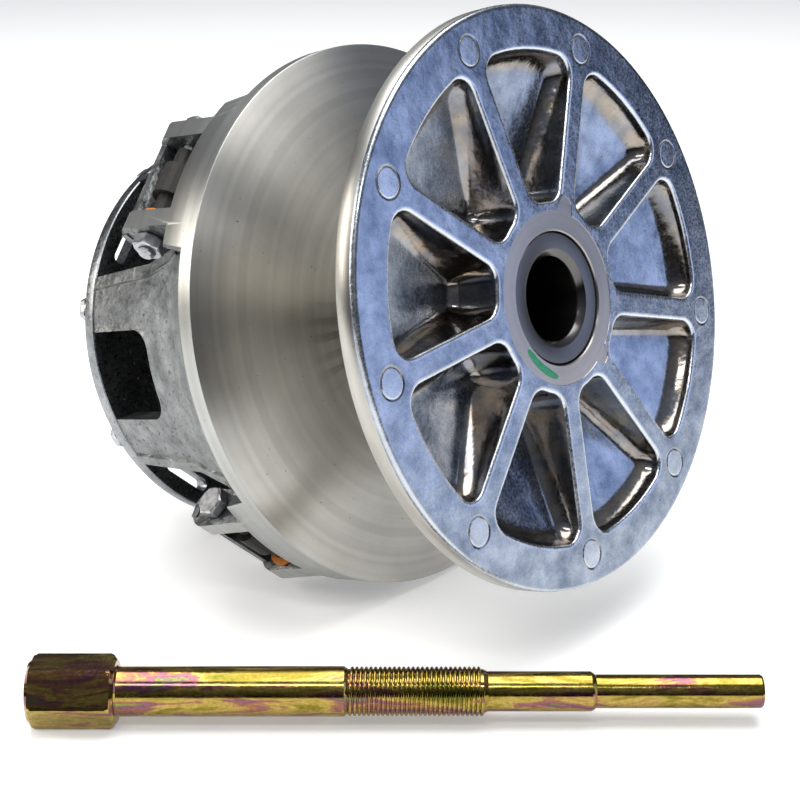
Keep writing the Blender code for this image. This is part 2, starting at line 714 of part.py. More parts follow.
def cover(parent):
    bore = POST_TAIL_R + RUN + BUSH_T + GAP
    hub = bore + 5
    end = DOME_IN_Z - COVER_T - COVER_HUB_L
    profile = [
        (bore, DOME_IN_Z),
        (COVER_DOME_R, DOME_IN_Z),
        (COVER_DOME_R + COVER_DOME, COVER_IN_Z),
        (COVER_R, COVER_IN_Z),
        (COVER_R, COVER_REST_Z),
        (COVER_R - COVER_CHAMFER, COVER_OUT_Z),
        (COVER_DOME_R + COVER_DOME + 2.5, COVER_OUT_Z),
        (COVER_DOME_R + 2.5, DOME_IN_Z - COVER_T),
        (hub, DOME_IN_Z - COVER_T),
        (hub - 1, end),
        (bore, end),
    ]
    plate = add("cover", lathe("cover", profile, ROUND), parent, CAST)
    half_w, half_l, corner = COVER_SLOT_W / 2, COVER_SLOT_L / 2, COVER_SLOT_W / 2 - 0.1
    corners = box_outline(COVER_SLOT_R - half_w, COVER_SLOT_R + half_w, -half_l, half_l)
    slot = rounded([(x, y, corner) for x, y in corners], steps=3)
    below, above = COVER_OUT_Z - 5, COVER_IN_Z + 5
    cut = extruded("cover_slot", slot, below, above)
    boolean(plate, ring_of("cover_slots", cut, TOWERS, radians(BAY_PHASE_DEG)), "DIFFERENCE")
    hole_r = SCREW_R + GAP
    hole = lathe("cover_hole", [(hole_r, below), (hole_r, above)], SMALL, bored=False)
    holes = [(hole, place) for place in screw_places()]
    boolean(plate, joined("cover_holes", holes), "DIFFERENCE")
    screw = bolt_mesh("cover_screw", SCREW_R, SCREW_HEAD_AF, SCREW_HEAD_T, SCREW_L + COVER_T - 2)
    seat = Matrix.Translation((0, 0, (COVER_OUT_Z - GAP) * MM))
    for k, place in enumerate(screw_places(), 1):
        add(f"cover_screw_{k}", screw, parent, STEEL, place @ seat)
    inner, outer = POST_TAIL_R + RUN, POST_TAIL_R + RUN + BUSH_T
    top, low = DOME_IN_Z - 0.5, end + 0.5
    ring = [(inner, top), (outer, top), (outer, low), (inner, low)]
    add("cover_bush", lathe("cover_bush", ring, MIDDLE), parent, BRONZE)


def drive_spring(parent, steps=16, sides=6):
    """A coil between spider and cover, whose ends lie flat against their seats."""
    top = SPIDER_BACK_Z - GAP - SPRING_WIRE_R - 0.2
    low = DOME_IN_Z + GAP + SPRING_WIRE_R + 0.2
    count = round(SPRING_TURNS * steps)
    dead = 0.75 / SPRING_TURNS  # the share of the coil that lies flat at each end
    step = 2.1 * SPRING_WIRE_R  # what a flat end turn rises, to clear the next one
    rings = []
    for k in range(count + 1):
        share = k / count
        angle = 2 * pi * SPRING_TURNS * share
        rise = min(max((share - dead) / (1 - 2 * dead), 0), 1)
        lift = step * (min(share / dead, 1) + max((share - 1 + dead) / dead, 0))
        z = top - lift - (top - low - 2 * step) * rise
        ring = []
        for j in range(sides):
            a = 2 * pi * (j + 0.5) / sides
            r = SPRING_R + SPRING_WIRE_R * cos(a)
            ring.append((r * cos(angle), r * sin(angle), z + SPRING_WIRE_R * sin(a)))
        rings.append(ring)
    add("drive_spring", stack("drive_spring", rings), parent, SPRING)


# Puller bolt


def puller(parent):
    """The bolt along X, from its head's end face: head, shank, thread, pilot and tip."""
    shank = PULLER_HEAD_L + PULLER_SHANK_L
    thread = shank + PULLER_THREAD_L
    pilot = thread + PULLER_PILOT_L
    tip = pilot + PULLER_TIP_L
    crest_r = PULLER_SHANK_R - 0.2
    turned = [
        (PULLER_SHANK_R, PULLER_HEAD_L),
        (PULLER_SHANK_R, shank),
        (crest_r - 0.4, shank + 0.6),
        (crest_r, shank + PULLER_CHAMFER),
        (crest_r, thread - PULLER_CHAMFER),
        (PULLER_PILOT_R, thread),
        (PULLER_PILOT_R, pilot - PULLER_CHAMFER),
        (PULLER_TIP_R, pilot),
        (PULLER_TIP_R, tip - 1.0),
        (PULLER_TIP_R - 1.0, tip),
    ]
    rings = [
        hexagon(PULLER_AF, 0, HEXED, PULLER_AF * 0.5),
        hexagon(PULLER_AF, PULLER_HEAD_EDGE, HEXED),
        hexagon(PULLER_AF, PULLER_HEAD_L - PULLER_HEAD_EDGE, HEXED),
        hexagon(PULLER_AF, PULLER_HEAD_L, HEXED, PULLER_AF * 0.5),
    ]
    rings += [circle(r, z, HEXED, 0) for r, z in turned]
    along_x = Matrix.Rotation(pi / 2, 4, "Y")
    add("puller_bolt", stack("puller_bolt", rings), parent, ZINC, along_x)


# Assembly


def lay_down():
    """How far the axis pitches up, and how high the face's centre stands, with both rims down.

    It rests on the back edge of the movable sheave's turned band and on the edge of the cover.
    """
    flat = cos(pi / ROUND)
    edge = MOVE_Z - BAND_T
    pitch = atan2((SHEAVE_R - COVER_R) * flat, edge - COVER_REST_Z)
    high = SHEAVE_R * flat * cos(pitch) - edge * sin(pitch)
    return pitch, high


def world_box():
    """The lowest and highest corner of everything that is rendered."""
    bpy.context.view_layer.update()
    graph = bpy.context.evaluated_depsgraph_get()
    points = []
    for obj in bpy.context.scene.objects:
        if obj.type == "MESH" and not obj.hide_render:
            mesh = obj.evaluated_get(graph).to_mesh()
            points += [obj.matrix_world @ v.co for v in mesh.vertices]
    low = Vector(min(p[i] for p in points) for i in range(3))
    high = Vector(max(p[i] for p in points) for i in range(3))
    return low, high


for old in list(bpy.data.objects):
    bpy.data.objects.remove(old)

CAST = material("cast_aluminium", (0.42, 0.45, 0.49), 0.9, 0.42)
MACHINED = material("turned_aluminium", (0.62, 0.62, 0.60), 1.0, 0.32)
STEEL = material("polished_steel", (0.45, 0.43, 0.40), 1.0, 0.22)
IRON = material("spider_iron", (0.16, 0.16, 0.17), 0.8, 0.5)
SINTERED = material("sintered_steel", (0.08, 0.08, 0.085), 0.7, 0.6)
BRONZE = material("bush_bronze", (0.42, 0.33, 0.18), 1.0, 0.4)
PLASTIC = material("button_plastic", (0.05, 0.05, 0.05), 0.0, 0.5)
ORANGE = material("orange_washer", (0.75, 0.33, 0.02), 0.0, 0.45)
SPRING = material("spring_steel", (0.10, 0.10, 0.11), 0.8, 0.35)
ZINC = material("yellow_zinc", (0.42, 0.37, 0.16), 1.0, 0.3)

PITCH, HEIGHT = lay_down()
origin = empty("set_origin")
upright = Matrix(((0, -sin(PITCH), cos(PITCH)), (1, 0, 0), (0, cos(PITCH), sin(PITCH)))).to_4x4()
clutch = empty("clutch_axis", origin, Matrix.Translation((0, 0, HEIGHT * MM)) @ upright)
shift = empty("shift_slide", clutch)
bay_angles = [radians(BAY_PHASE_DEG) + 2 * pi * k / TOWERS for k in range(TOWERS)]
bays = [(k, turned_about_axis(angle)) for k, angle in enumerate(bay_angles, 1)]
fixed_bays = [empty(f"spider_bay_{k}", clutch, turn) for k, turn in bays]
moving_bays = [empty(f"tower_bay_{k}", shift, turn) for k, turn in bays]

fixed_sheave(clutch)
post(clutch)
spider(clutch, fixed_bays)
moving_sheave(shift)
weights(shift, moving_bays)
cover(shift)
drive_spring(clutch)

yaw = radians(PULLER_YAW_DEG)
out = Vector((sin(yaw), -cos(yaw), 0)) * PULLER_OUT
start = out - Vector((cos(yaw), sin(yaw), 0)) * PULLER_HEAD_BACK
start.z = PULLER_AF / 2
lying = Matrix.Translation(start * MM) @ Matrix.Rotation(yaw, 4, "Z")
puller(empty("puller_lift", origin, lying))

low, high = world_box()
origin.location = (-(low.x + high.x) / 2, -(low.y + high.y) / 2, -low.z)
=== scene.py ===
"""Looks of a belt gearbox's drive clutch and of the puller bolt that takes it off its shaft."""

import json
from math import asin, atan2, cos, hypot, pi, radians, sin, sqrt, tan

import bmesh
import bpy
import numpy as np
from mathutils import Matrix, Vector


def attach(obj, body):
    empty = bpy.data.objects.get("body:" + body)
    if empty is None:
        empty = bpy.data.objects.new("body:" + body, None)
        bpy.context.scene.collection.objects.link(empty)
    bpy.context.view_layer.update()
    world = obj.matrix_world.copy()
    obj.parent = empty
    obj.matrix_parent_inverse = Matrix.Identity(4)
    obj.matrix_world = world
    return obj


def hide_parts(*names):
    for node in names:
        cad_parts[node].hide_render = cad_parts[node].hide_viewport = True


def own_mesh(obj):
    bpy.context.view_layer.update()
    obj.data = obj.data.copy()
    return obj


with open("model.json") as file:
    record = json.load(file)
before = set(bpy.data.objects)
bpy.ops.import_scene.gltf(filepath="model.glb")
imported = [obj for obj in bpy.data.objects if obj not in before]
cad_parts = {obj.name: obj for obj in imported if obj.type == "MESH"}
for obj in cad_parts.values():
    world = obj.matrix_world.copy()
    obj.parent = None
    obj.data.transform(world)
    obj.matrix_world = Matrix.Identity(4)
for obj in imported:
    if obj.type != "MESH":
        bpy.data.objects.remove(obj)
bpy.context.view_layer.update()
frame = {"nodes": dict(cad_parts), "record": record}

# The clutch's own frame: millimetres, with Z along the crankshaft towards the ribbed outer face,
# whose centre is zero. The crankshaft's taper starts a little behind that face. Every piece of the
# clutch is shaped there and then laid down with one matrix.
MM = 0.001
POST_RECESS = 1.0
mounts = {m["name"]: m for m in frame["record"]["mounts"]}
along = Vector(mounts["crank_taper"]["axis"]).normalized()
across = Vector((0, 1, 0))
turned = Matrix((across, along.cross(across), along)).transposed().to_4x4()
face_centre = Vector(mounts["crank_taper"]["pos_m"]) + along * POST_RECESS * MM
CLUTCH = Matrix.Translation(face_centre) @ turned @ Matrix.Scale(MM, 4)

# Camera: a long lens a little above the bench, looking down on the ribbed face from its left. It
# stands about half a metre off, so that the near rim looks larger than the towers behind it.
camera = bpy.data.objects.new("camera", bpy.data.cameras.new("camera"))
bpy.context.collection.objects.link(camera)
bpy.context.scene.camera = camera
camera.data.sensor_width = 36.0
camera.data.lens = 72.4
camera.data.clip_start = 0.01
YAW, PITCH = radians(40.5), radians(20.47)
backwards = Vector((sin(YAW) * cos(PITCH), -cos(YAW) * cos(PITCH), sin(PITCH)))
camera.location = (face_centre.x + 0.3007, face_centre.y - 0.4358, 0.2797)
camera.rotation_euler = (-backwards).to_track_quat("-Z", "Y").to_euler()


def hex_colour(code, alpha=1.0):
    """An sRGB hex value as linear colour."""
    shares = [int(code[k : k + 2], 16) / 255 for k in (1, 3, 5)]
    linear = [s / 12.92 if s <= 0.04045 else ((s + 0.055) / 1.055) ** 2.4 for s in shares]
    return (*linear, alpha)


def node(tree, kind, inputs=None, **settings):
    """Adds one node. Each input is given a value, or another node's output to link."""
    made = tree.nodes.new(kind)
    for key, value in settings.items():
        setattr(made, key, value)
    for key, value in (inputs or {}).items():
        if isinstance(value, bpy.types.NodeSocket):
            tree.links.new(value, made.inputs[key])
        else:
            made.inputs[key].default_value = value
    return made


def blank_material(name):
    """A material with an empty Principled shader, and its tree."""
    made = bpy.data.materials.new(name)
    made.use_nodes = True
    return made, made.node_tree, made.node_tree.nodes["Principled BSDF"]


# Bench: a plain pale board, matte, that runs out past the view on every side. It glows a little,
# which keeps it near white beside bright metal and leaves only soft shadows under the pieces.
bench_finish, tree, shader = blank_material("painted_board")
shader.inputs["Base Color"].default_value = hex_colour("#f6f6f5")
shader.inputs["Roughness"].default_value = 0.75
shader.inputs["Emission Color"].default_value = hex_colour("#ffffff")
shader.inputs["Emission Strength"].default_value = 0.3
bench_mesh = bpy.data.meshes.new("bench")
REACH = 9.0
corners = [(-REACH, -REACH, 0), (REACH, -REACH, 0), (REACH, REACH, 0), (-REACH, REACH, 0)]
bench_mesh.from_pydata(corners, [], [(0, 1, 2, 3)])
bench_mesh.materials.append(bench_finish)
bench = bpy.data.objects.new("bench", bench_mesh)
bpy.context.collection.objects.link(bench)

# Light: one large soft box overhead, a cool one low on the right, which the ribbed face mirrors,
# a neutral one on the left for the towers, and a strip over the puller bolt. The room is dim and
# warm, so that polished metal has something dark to mirror.


def soft_box(name, place, aim, size, watts, colour):
    light = bpy.data.lights.new(name, "AREA")
    light.shape = "RECTANGLE"
    light.size, light.size_y = size
    light.energy = watts
    light.color = hex_colour(colour)[:3]
    obj = bpy.data.objects.new(name, light)
    bpy.context.collection.objects.link(obj)
    obj.location = place
    obj.rotation_euler = (Vector(aim) - Vector(place)).to_track_quat("-Z", "Y").to_euler()


middle = (0, 0, 0.1)
soft_box("overhead", (-0.2, 0.2, 1.7), middle, (1.6, 1.6), 36, "#fffefc")
soft_box("right_cool", (1.3, 1.05, 0.42), middle, (0.8, 0.8), 3.4, "#c3d4ff")
soft_box("left_neutral", (-0.9, -0.75, 0.55), middle, (0.6, 0.6), 7, "#fff8ee")
soft_box("front_strip", (0.35, -0.75, 1.25), (0, -0.1, 0), (0.9, 0.12), 4, "#ffffff")

world = bpy.data.worlds.new("room")
bpy.context.scene.world = world
world.use_nodes = True
tree = world.node_tree
room = tree.nodes["Background"]
direction = node(tree, "ShaderNodeTexCoord").outputs["Generated"]
height = node(tree, "ShaderNodeSeparateXYZ", {0: direction}).outputs["Z"]
shade = node(tree, "ShaderNodeMapRange", {"Value": height, "From Min": 0.1, "From Max": 0.95})
ramp = node(
    tree,
    "ShaderNodeMix",
    {0: shade.outputs[0], 6: hex_colour("#221f1d"), 7: hex_colour("#b4bac4")},
    data_type="RGBA",
)
tree.links.new(ramp.outputs[2], room.inputs["Color"])
room.inputs["Strength"].default_value = 0.75
bpy.context.scene.view_settings.view_transform = "Standard"

# Fixed sheave: a die-cast aluminium disc that is pressed on the post. Its outer face keeps the
# casting's skin, with nine deep pockets between ribs and a round ejector mark on each rib. The rim,
# the belt face behind it and a pad round the bore are turned.
SHEAVE_R = 100.0
CONE = tan(radians(14))
RIM_T = 8.0
POCKETS, POCKET_PHASE = 9, radians(3.95)
POCKET_OUT_R, POCKET_IN_R, POCKET_CORNER = 85.5, 32.0, 7.9
RIB_T = 6.5
POCKET_WALL = 5.5
COVE = 7.2  # the pocket's wall is a hollow curve this wide
COVE_LIP = 1.1
PAD_R = 30.0
BORE_R = 23.05
MARK_R, MARK_AT_R = 5.4, 89.5


def mesh_of(name, points, faces, finishes=(), sharp=38):
    """A mesh from points and faces, smooth but for edges sharper than the angle."""
    mesh = bpy.data.meshes.new(name)
    mesh.from_pydata([tuple(p) for p in points], [], [tuple(int(i) for i in f) for f in faces])
    mesh.update()
    for finish in finishes:
        mesh.materials.append(finish)
    mesh.shade_smooth()
    mesh.set_sharp_from_angle(angle=radians(sharp))
    return mesh


def facing_out(mesh):
    """Merges doubles and turns every face outwards."""
    work = bmesh.new()
    work.from_mesh(mesh)
    bmesh.ops.remove_doubles(work, verts=work.verts, dist=1e-4)
    bmesh.ops.recalc_face_normals(work, faces=work.faces)
    work.to_mesh(mesh)
    work.free()
    return mesh


def skin(rings, closed=False, capped=True):
    """Points and faces over a row of rings, each with the same number of points."""
    count, total = len(rings[0]), len(rings)
    points = [p for ring in rings for p in ring]
    faces = []
    for i in range(total if closed else total - 1):
        near, far = i * count, (i + 1) % total * count
        faces += [
            (near + j, near + (j + 1) % count, far + (j + 1) % count, far + j) for j in range(count)
        ]
    if capped and not closed:
        faces.append(tuple(range(count))[::-1])
        faces.append(tuple(range((total - 1) * count, total * count)))
    return points, faces


def circle(radius, z, count):
    turns = [2 * pi * k / count for k in range(count)]
    return [(radius * cos(a), radius * sin(a), z) for a in turns]


def turning_map(mesh):
    """A UV map whose u runs along the profile and whose v runs round the axis."""
    layer = mesh.uv_layers.new(name="turning")
    for face in mesh.polygons:
        middle = atan2(face.center.y, face.center.x)
        for loop in face.loop_indices:
            p = mesh.vertices[mesh.loops[loop].vertex_index].co
            turn = (atan2(p.y, p.x) - middle + pi) % (2 * pi) - pi + middle
            layer.data[loop].uv = ((hypot(p.x, p.y) - p.z) / SHEAVE_R, turn / (2 * pi))


def hand_over(name, mesh, body, nodes=(), place=CLUTCH):
    """Puts a finished mesh where it belongs and hands it to its body."""
    mesh.transform(place)
    mesh.name = name
    obj = bpy.data.objects.new(name, mesh)
    bpy.context.collection.objects.link(obj)
    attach(obj, body)
    if nodes:
        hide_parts(*nodes)
    return obj


def in_clutch(tree):
    """The point being shaded, in the clutch's own millimetres."""
    spot = node(tree, "ShaderNodeTexCoord").outputs["Object"]
    into = turned.to_3x3().transposed()
    shift = -(into @ face_centre) / MM
    turn = into.to_euler()
    return node(
        tree, "ShaderNodeMapping", {0: spot, 1: shift, 2: turn, 3: (1000, 1000, 1000)}
    ).outputs[0]


def cast_finish(name, light, dark, wall_reflection, roughness, pits, relief=1.0):
    """Die-cast aluminium: a grey skin with soft flow marks, oxide clouds and small dark pits, with
    a painted warm reflection and shade on the pockets' walls and a painted highlight on their lips.
    """
    made, tree, shader = blank_material(name)
    spot = in_clutch(tree)
    clouds = node(
        tree,
        "ShaderNodeTexNoise",
        {"Vector": spot, "Scale": 0.09, "Detail": 6.0, "Roughness": 0.62},
    )
    grain = node(
        tree, "ShaderNodeTexNoise", {"Vector": spot, "Scale": 0.9, "Detail": 4.0, "Roughness": 0.6}
    )
    specks = node(
        tree,
        "ShaderNodeTexNoise",
        {"Vector": spot, "Scale": 0.62, "Detail": 3.0, "Roughness": 0.75},
    )
    pitted = node(
        tree,
        "ShaderNodeMapRange",
        {
            "Value": specks.outputs[0],
            "From Min": 0.3 + pits,
            "From Max": 0.26 + pits,
            "To Min": 0.0,
            "To Max": 1.0,
        },
    )
    spread = node(
        tree, "ShaderNodeMapRange", {"Value": clouds.outputs[0], "From Min": 0.34, "From Max": 0.66}
    )
    skin_colour = node(
        tree,
        "ShaderNodeMix",
        {0: spread.outputs[0], 6: hex_colour(dark), 7: hex_colour(light)},
        data_type="RGBA",
    )
    fine = node(
        tree,
        "ShaderNodeMapRange",
        {
            "Value": grain.outputs[0],
            "From Min": 0.3,
            "From Max": 0.7,
            "To Min": 0.82,
            "To Max": 1.08,
        },
    )
    mottled = node(
        tree,
        "ShaderNodeMix",
        {0: 1.0, 6: skin_colour.outputs[2], 7: fine.outputs[0]},
        data_type="RGBA",
        blend_type="MULTIPLY",
    )
    # Darker in the pits: where the speck noise marks a pit, the colour goes towards near-black.
    darkened_pits = node(
        tree,
        "ShaderNodeMix",
        {0: pitted.outputs[0], 6: mottled.outputs[2], 7: hex_colour("#26272a")},
        data_type="RGBA",
    )
    # Painted reflection and shade: on the pockets' hollow walls and the ejector marks' sunk rings
    # the colour is mixed halfway towards warm browns, which stand for the dim warm room mirrored
    # there and the shade in the hollows.
    cove = node(tree, "ShaderNodeAttribute", attribute_name="cove").outputs["Fac"]
    patches = node(tree, "ShaderNodeTexNoise", {"Vector": spot, "Scale": 0.13, "Detail": 3.0})
    reflection_spread = node(
        tree,
        "ShaderNodeMapRange",
        {"Value": patches.outputs[0], "From Min": 0.35, "From Max": 0.62},
    )
    painted_reflection = node(
        tree,
        "ShaderNodeMix",
        {0: reflection_spread.outputs[0], 6: hex_colour("#6b6159"), 7: hex_colour(wall_reflection)},
        data_type="RGBA",
    )
    mix_share = node(tree, "ShaderNodeMath", {0: cove, 1: 0.5}, operation="MULTIPLY").outputs[0]
    with_wall_reflection = node(
        tree, "ShaderNodeMix", {0: mix_share, 6: darkened_pits.outputs[2], 7: painted_reflection.outputs[2]}, data_type="RGBA"
    )
    # Painted highlight: the pockets' lips, the ejector marks' lips and the rim's rounded edge are
    # mixed towards near-white.
    painted_highlight = node(tree, "ShaderNodeAttribute", attribute_name="painted_highlight").outputs["Fac"]
    edged = node(
        tree,
        "ShaderNodeMix",
        {0: painted_highlight, 6: with_wall_reflection.outputs[2], 7: hex_colour("#e6eaee")},
        data_type="RGBA",
    )
    tree.links.new(edged.outputs[2], shader.inputs["Base Color"])
    shader.inputs["Metallic"].default_value = 1.0
    rough = node(
        tree,
        "ShaderNodeMapRange",
        {
            "Value": grain.outputs[0],
            "From Min": 0.25,
            "From Max": 0.75,
            "To Min": roughness - 0.1,
            "To Max": roughness + 0.12,
        },
    )
    polish = node(
        tree, "ShaderNodeMath", {0: cove, 1: -0.12, 2: rough.outputs[0]}, operation="MULTIPLY_ADD"
    )
    tree.links.new(polish.outputs[0], shader.inputs["Roughness"])
    waves = node(tree, "ShaderNodeTexNoise", {"Vector": spot, "Scale": 0.16, "Detail": 2.0})
    wavy = node(
        tree,
        "ShaderNodeBump",
        {"Strength": 0.35, "Distance": 0.0006 * relief, "Height": waves.outputs[0]},
    )
    grainy = node(
        tree,
        "ShaderNodeBump",
        {
            "Strength": 0.5,
            "Distance": 0.00007 * relief,
            "Height": grain.outputs[0],
            "Normal": wavy.outputs[0],
        },
    )
    sunk = node(
        tree,
        "ShaderNodeBump",
        {
            "Strength": 0.8,
            "Distance": 0.0004,
            "Height": pitted.outputs[0],
            "Normal": grainy.outputs[0],
        },
        invert=True,
    )
    tree.links.new(sunk.outputs[0], shader.inputs["Normal"])
    return made


def turned_finish(name, colour, roughness, stretch, pitch):
    """Turned aluminium: fine rings from the tool, which draw each light out into a bright fan."""
    made, tree, shader = blank_material(name)
    spot = in_clutch(tree)
    parts = node(tree, "ShaderNodeSeparateXYZ", {0: spot})
    flat = node(tree, "ShaderNodeCombineXYZ", {0: parts.outputs[0], 1: parts.outputs[1]})
    radius = node(
        tree, "ShaderNodeVectorMath", {0: flat.outputs[0]}, operation="LENGTH"
    ).outputs["Value"]
    way = node(
        tree, "ShaderNodeMath", {0: radius, 1: parts.outputs[2]}, operation="SUBTRACT"
    ).outputs[0]
    rings = node(
        tree,
        "ShaderNodeTexNoise",
        {"W": way, "Scale": 1 / pitch, "Detail": 3.0},
        noise_dimensions="1D",
    )
    broad = node(
        tree, "ShaderNodeTexNoise", {"W": way, "Scale": 0.22, "Detail": 2.0}, noise_dimensions="1D"
    )
    smears = node(
        tree,
        "ShaderNodeTexNoise",
        {"Vector": spot, "Scale": 0.045, "Detail": 5.0, "Roughness": 0.6},
    )
    marks = node(tree, "ShaderNodeTexNoise", {"Vector": spot, "Scale": 0.8, "Detail": 2.0})
    spots = node(
        tree, "ShaderNodeMapRange", {"Value": marks.outputs[0], "From Min": 0.27, "From Max": 0.22}
    )
    tone = node(
        tree,
        "ShaderNodeMapRange",
        {
            "Value": broad.outputs[0],
            "From Min": 0.3,
            "From Max": 0.7,
            "To Min": 0.9,
            "To Max": 1.04,
        },
    )
    ringed = node(
        tree,
        "ShaderNodeMix",
        {0: 1.0, 6: hex_colour(colour), 7: tone.outputs[0]},
        data_type="RGBA",
        blend_type="MULTIPLY",
    )
    spread = node(
        tree,
        "ShaderNodeMapRange",
        {
            "Value": smears.outputs[0],
            "From Min": 0.3,
            "From Max": 0.7,
            "To Min": 0.86,
            "To Max": 1.03,
        },
    )
    smeared = node(
        tree,
        "ShaderNodeMix",
        {0: 1.0, 6: ringed.outputs[2], 7: spread.outputs[0]},
        data_type="RGBA",
        blend_type="MULTIPLY",
    )
    spotted = node(
        tree,
        "ShaderNodeMix",
        {0: spots.outputs[0], 6: smeared.outputs[2], 7: hex_colour("#7b705e")},
        data_type="RGBA",
    )
    tree.links.new(spotted.outputs[2], shader.inputs["Base Color"])
    shader.inputs["Metallic"].default_value = 1.0
    rough = node(
        tree,
        "ShaderNodeMapRange",
        {
            "Value": rings.outputs[0],
            "From Min": 0.3,
            "From Max": 0.7,
            "To Min": roughness - 0.03,
            "To Max": roughness + 0.03,
        },
    )
    tree.links.new(rough.outputs[0], shader.inputs["Roughness"])
    shader.inputs["Anisotropic"].default_value = stretch
    tangent = node(tree, "ShaderNodeTangent", direction_type="UV_MAP", uv_map="turning")
    tree.links.new(tangent.outputs[0], shader.inputs["Tangent"])
    grooves = node(
        tree, "ShaderNodeBump", {"Strength": 0.2, "Distance": 0.00002, "Height": rings.outputs[0]}
    )
    tree.links.new(grooves.outputs[0], shader.inputs["Normal"])
    return made


# The fourth colour is the light end of the painted warm reflection on the pockets' walls.
CAST = cast_finish("die_cast_aluminium", "#a8b0bc", "#707b8b", "#a58c60", 0.25, 0.0)
TURNED = turned_finish("turned_aluminium", "#bebcb6", 0.35, 0.8, 0.4)
PAD = turned_finish("turned_pad", "#aaa49f", 0.3, 0.4, 0.6)


def pocket_outline(inset):
    """The pocket's rounded outline, drawn in by a distance, with its middle on the X axis."""
    half = pi / POCKETS
    off, corner = RIB_T / 2 + inset, max(POCKET_CORNER - inset, 0.15)
    ray, side = np.array((cos(half), sin(half))), np.array((sin(half), -cos(half)))
    outer, inner = POCKET_OUT_R - inset, POCKET_IN_R + inset
    out_c = ray * sqrt((outer - corner) ** 2 - (off + corner) ** 2) + side * (off + corner)
    in_c = ray * sqrt((inner + corner) ** 2 - (off + corner) ** 2) + side * (off + corner)
    square = atan2(-side[1], -side[0])
    out_a, in_a = atan2(out_c[1], out_c[0]), atan2(in_c[1], in_c[0])
    upper = [(outer * cos(a), outer * sin(a)) for a in np.linspace(0, out_a, 9)[:-1]]
    upper += [
        tuple(out_c + corner * np.array((cos(a), sin(a)))) for a in np.linspace(out_a, square, 10)
    ]
    first, last = out_c - side * corner, in_c - side * corner
    upper += [tuple(first + (last - first) * t) for t in np.linspace(0, 1, 14)[1:-1]]
    turn = in_a + pi
    upper += [
        tuple(in_c + corner * np.array((cos(a), sin(a)))) for a in np.linspace(square, turn, 10)
    ]
    upper += [(inner * cos(a), inner * sin(a)) for a in np.linspace(in_a, 0, 5)[1:]]
    lower = [(x, -y) for x, y in upper[-2:0:-1]]
    return upper + lower


def pocket_depth(x, y):
    return RIM_T + (SHEAVE_R - hypot(x, y)) * CONE - POCKET_WALL


def pocket_rings():
    """Rings from just outside the pocket's edge, over its lip and down its wall to its floor, each
    with its share of the painted wall reflection and of the painted lip highlight.
    """
    rings, coves, painted_highlight = [], [], []
    for inset, drop, share, bright in ((-0.7, 0, 0, 0), (0, 0, 0, 0.35)):
        rings.append([(x, y, -drop) for x, y in pocket_outline(inset)])
        coves.append(share)
        painted_highlight.append(bright)
    for k in (1, 2, 3):
        a = pi / 2 * k / 3
        inset = COVE_LIP * sin(a)
        rings.append([(x, y, -COVE_LIP * (1 - cos(a))) for x, y in pocket_outline(inset)])
        coves.append(0.25 * (k - 1))
        painted_highlight.append((0.75, 0.45, 0)[k - 1])
    for k in range(1, 10):
        a = pi / 2 * k / 9
        inset = COVE_LIP + (COVE - COVE_LIP) * (1 - cos(a))
        outline = pocket_outline(inset)
        rings.append(
            [(x, y, -COVE_LIP - (pocket_depth(x, y) - COVE_LIP) * sin(a)) for x, y in outline]
        )
        coves.append((1, 1, 1, 1, 1, 1, 0.9, 0.55, 0.12)[k - 1])
        painted_highlight.append(0)
    edge = np.array(rings[-1])
    centre = edge.mean(axis=0)
    for share in (0.8, 0.55, 0.3, 0.1):
        inner = centre + (edge - centre) * share
        rings.append([(x, y, -pocket_depth(x, y)) for x, y, _ in inner])
        coves.append(0)
        painted_highlight.append(0)
    return rings, coves, painted_highlight


def pad_edge(angle):
    """The turned pad's edge, with two lobes where the tool ran out over a rib."""
    reach = PAD_R
    for lobe, out, size in ((radians(66.2), 31.6, 4.2), (radians(306.5), 30.4, 3.6)):
        off = (angle - lobe + pi) % (2 * pi) - pi
        side = out * sin(off)
        if abs(side) < size and abs(off) < pi / 2:
            reach = max(reach, out * cos(off) + sqrt(size**2 - side**2))
    return reach


class FaceMaker:
    """Gathers loops and skins on the outer face, then fills the flat web between them."""

    def __init__(self):
        self.work = bmesh.new()
        self.shares = {
            "cove": self.work.verts.layers.float.new("cove"),
            "painted_highlight": self.work.verts.layers.float.new("painted_highlight"),
        }
        self.web = []

    def ring(self, points, cove=0.0, painted_highlight=0.0):
        verts = [self.work.verts.new(p) for p in points]
        for vert in verts:
            vert[self.shares["cove"]] = cove
            vert[self.shares["painted_highlight"]] = painted_highlight
        return verts

    def bridge(self, near, far, finish=0):
        count = len(near)
        for j in range(count):
            k = (j + 1) % count
            self.work.faces.new((near[j], near[k], far[k], far[j])).material_index = finish

    def edges(self, verts):
        return [
            self.work.edges.get((a, b)) or self.work.edges.new((a, b))
            for a, b in zip(verts, verts[1:] + verts[:1])
        ]

    def fill(self, loops, finish=0):
        edges = [e for loop in loops for e in self.edges(loop)]
        made = bmesh.ops.triangle_fill(
            self.work, use_beauty=True, use_dissolve=False, edges=edges, normal=(0, 0, 1)
        )
        for item in made["geom"]:
            if isinstance(item, bmesh.types.BMFace):
                item.material_index = finish
                if item.normal.z < 0:
                    item.normal_flip()


maker = FaceMaker()
web_loops = []
rings, coves, painted_highlights = pocket_rings()
for k in range(POCKETS):
    turn = Matrix.Rotation(POCKET_PHASE + 2 * pi * k / POCKETS, 3, "Z")
    made = [
        maker.ring([turn @ Vector(p) for p in ring], c, w)
        for ring, c, w in zip(rings, coves, painted_highlights)
    ]
    for near, far in zip(made, made[1:]):
        maker.bridge(near[::-1], far[::-1])
    maker.work.faces.new(made[-1])
    web_loops.append(made[0])
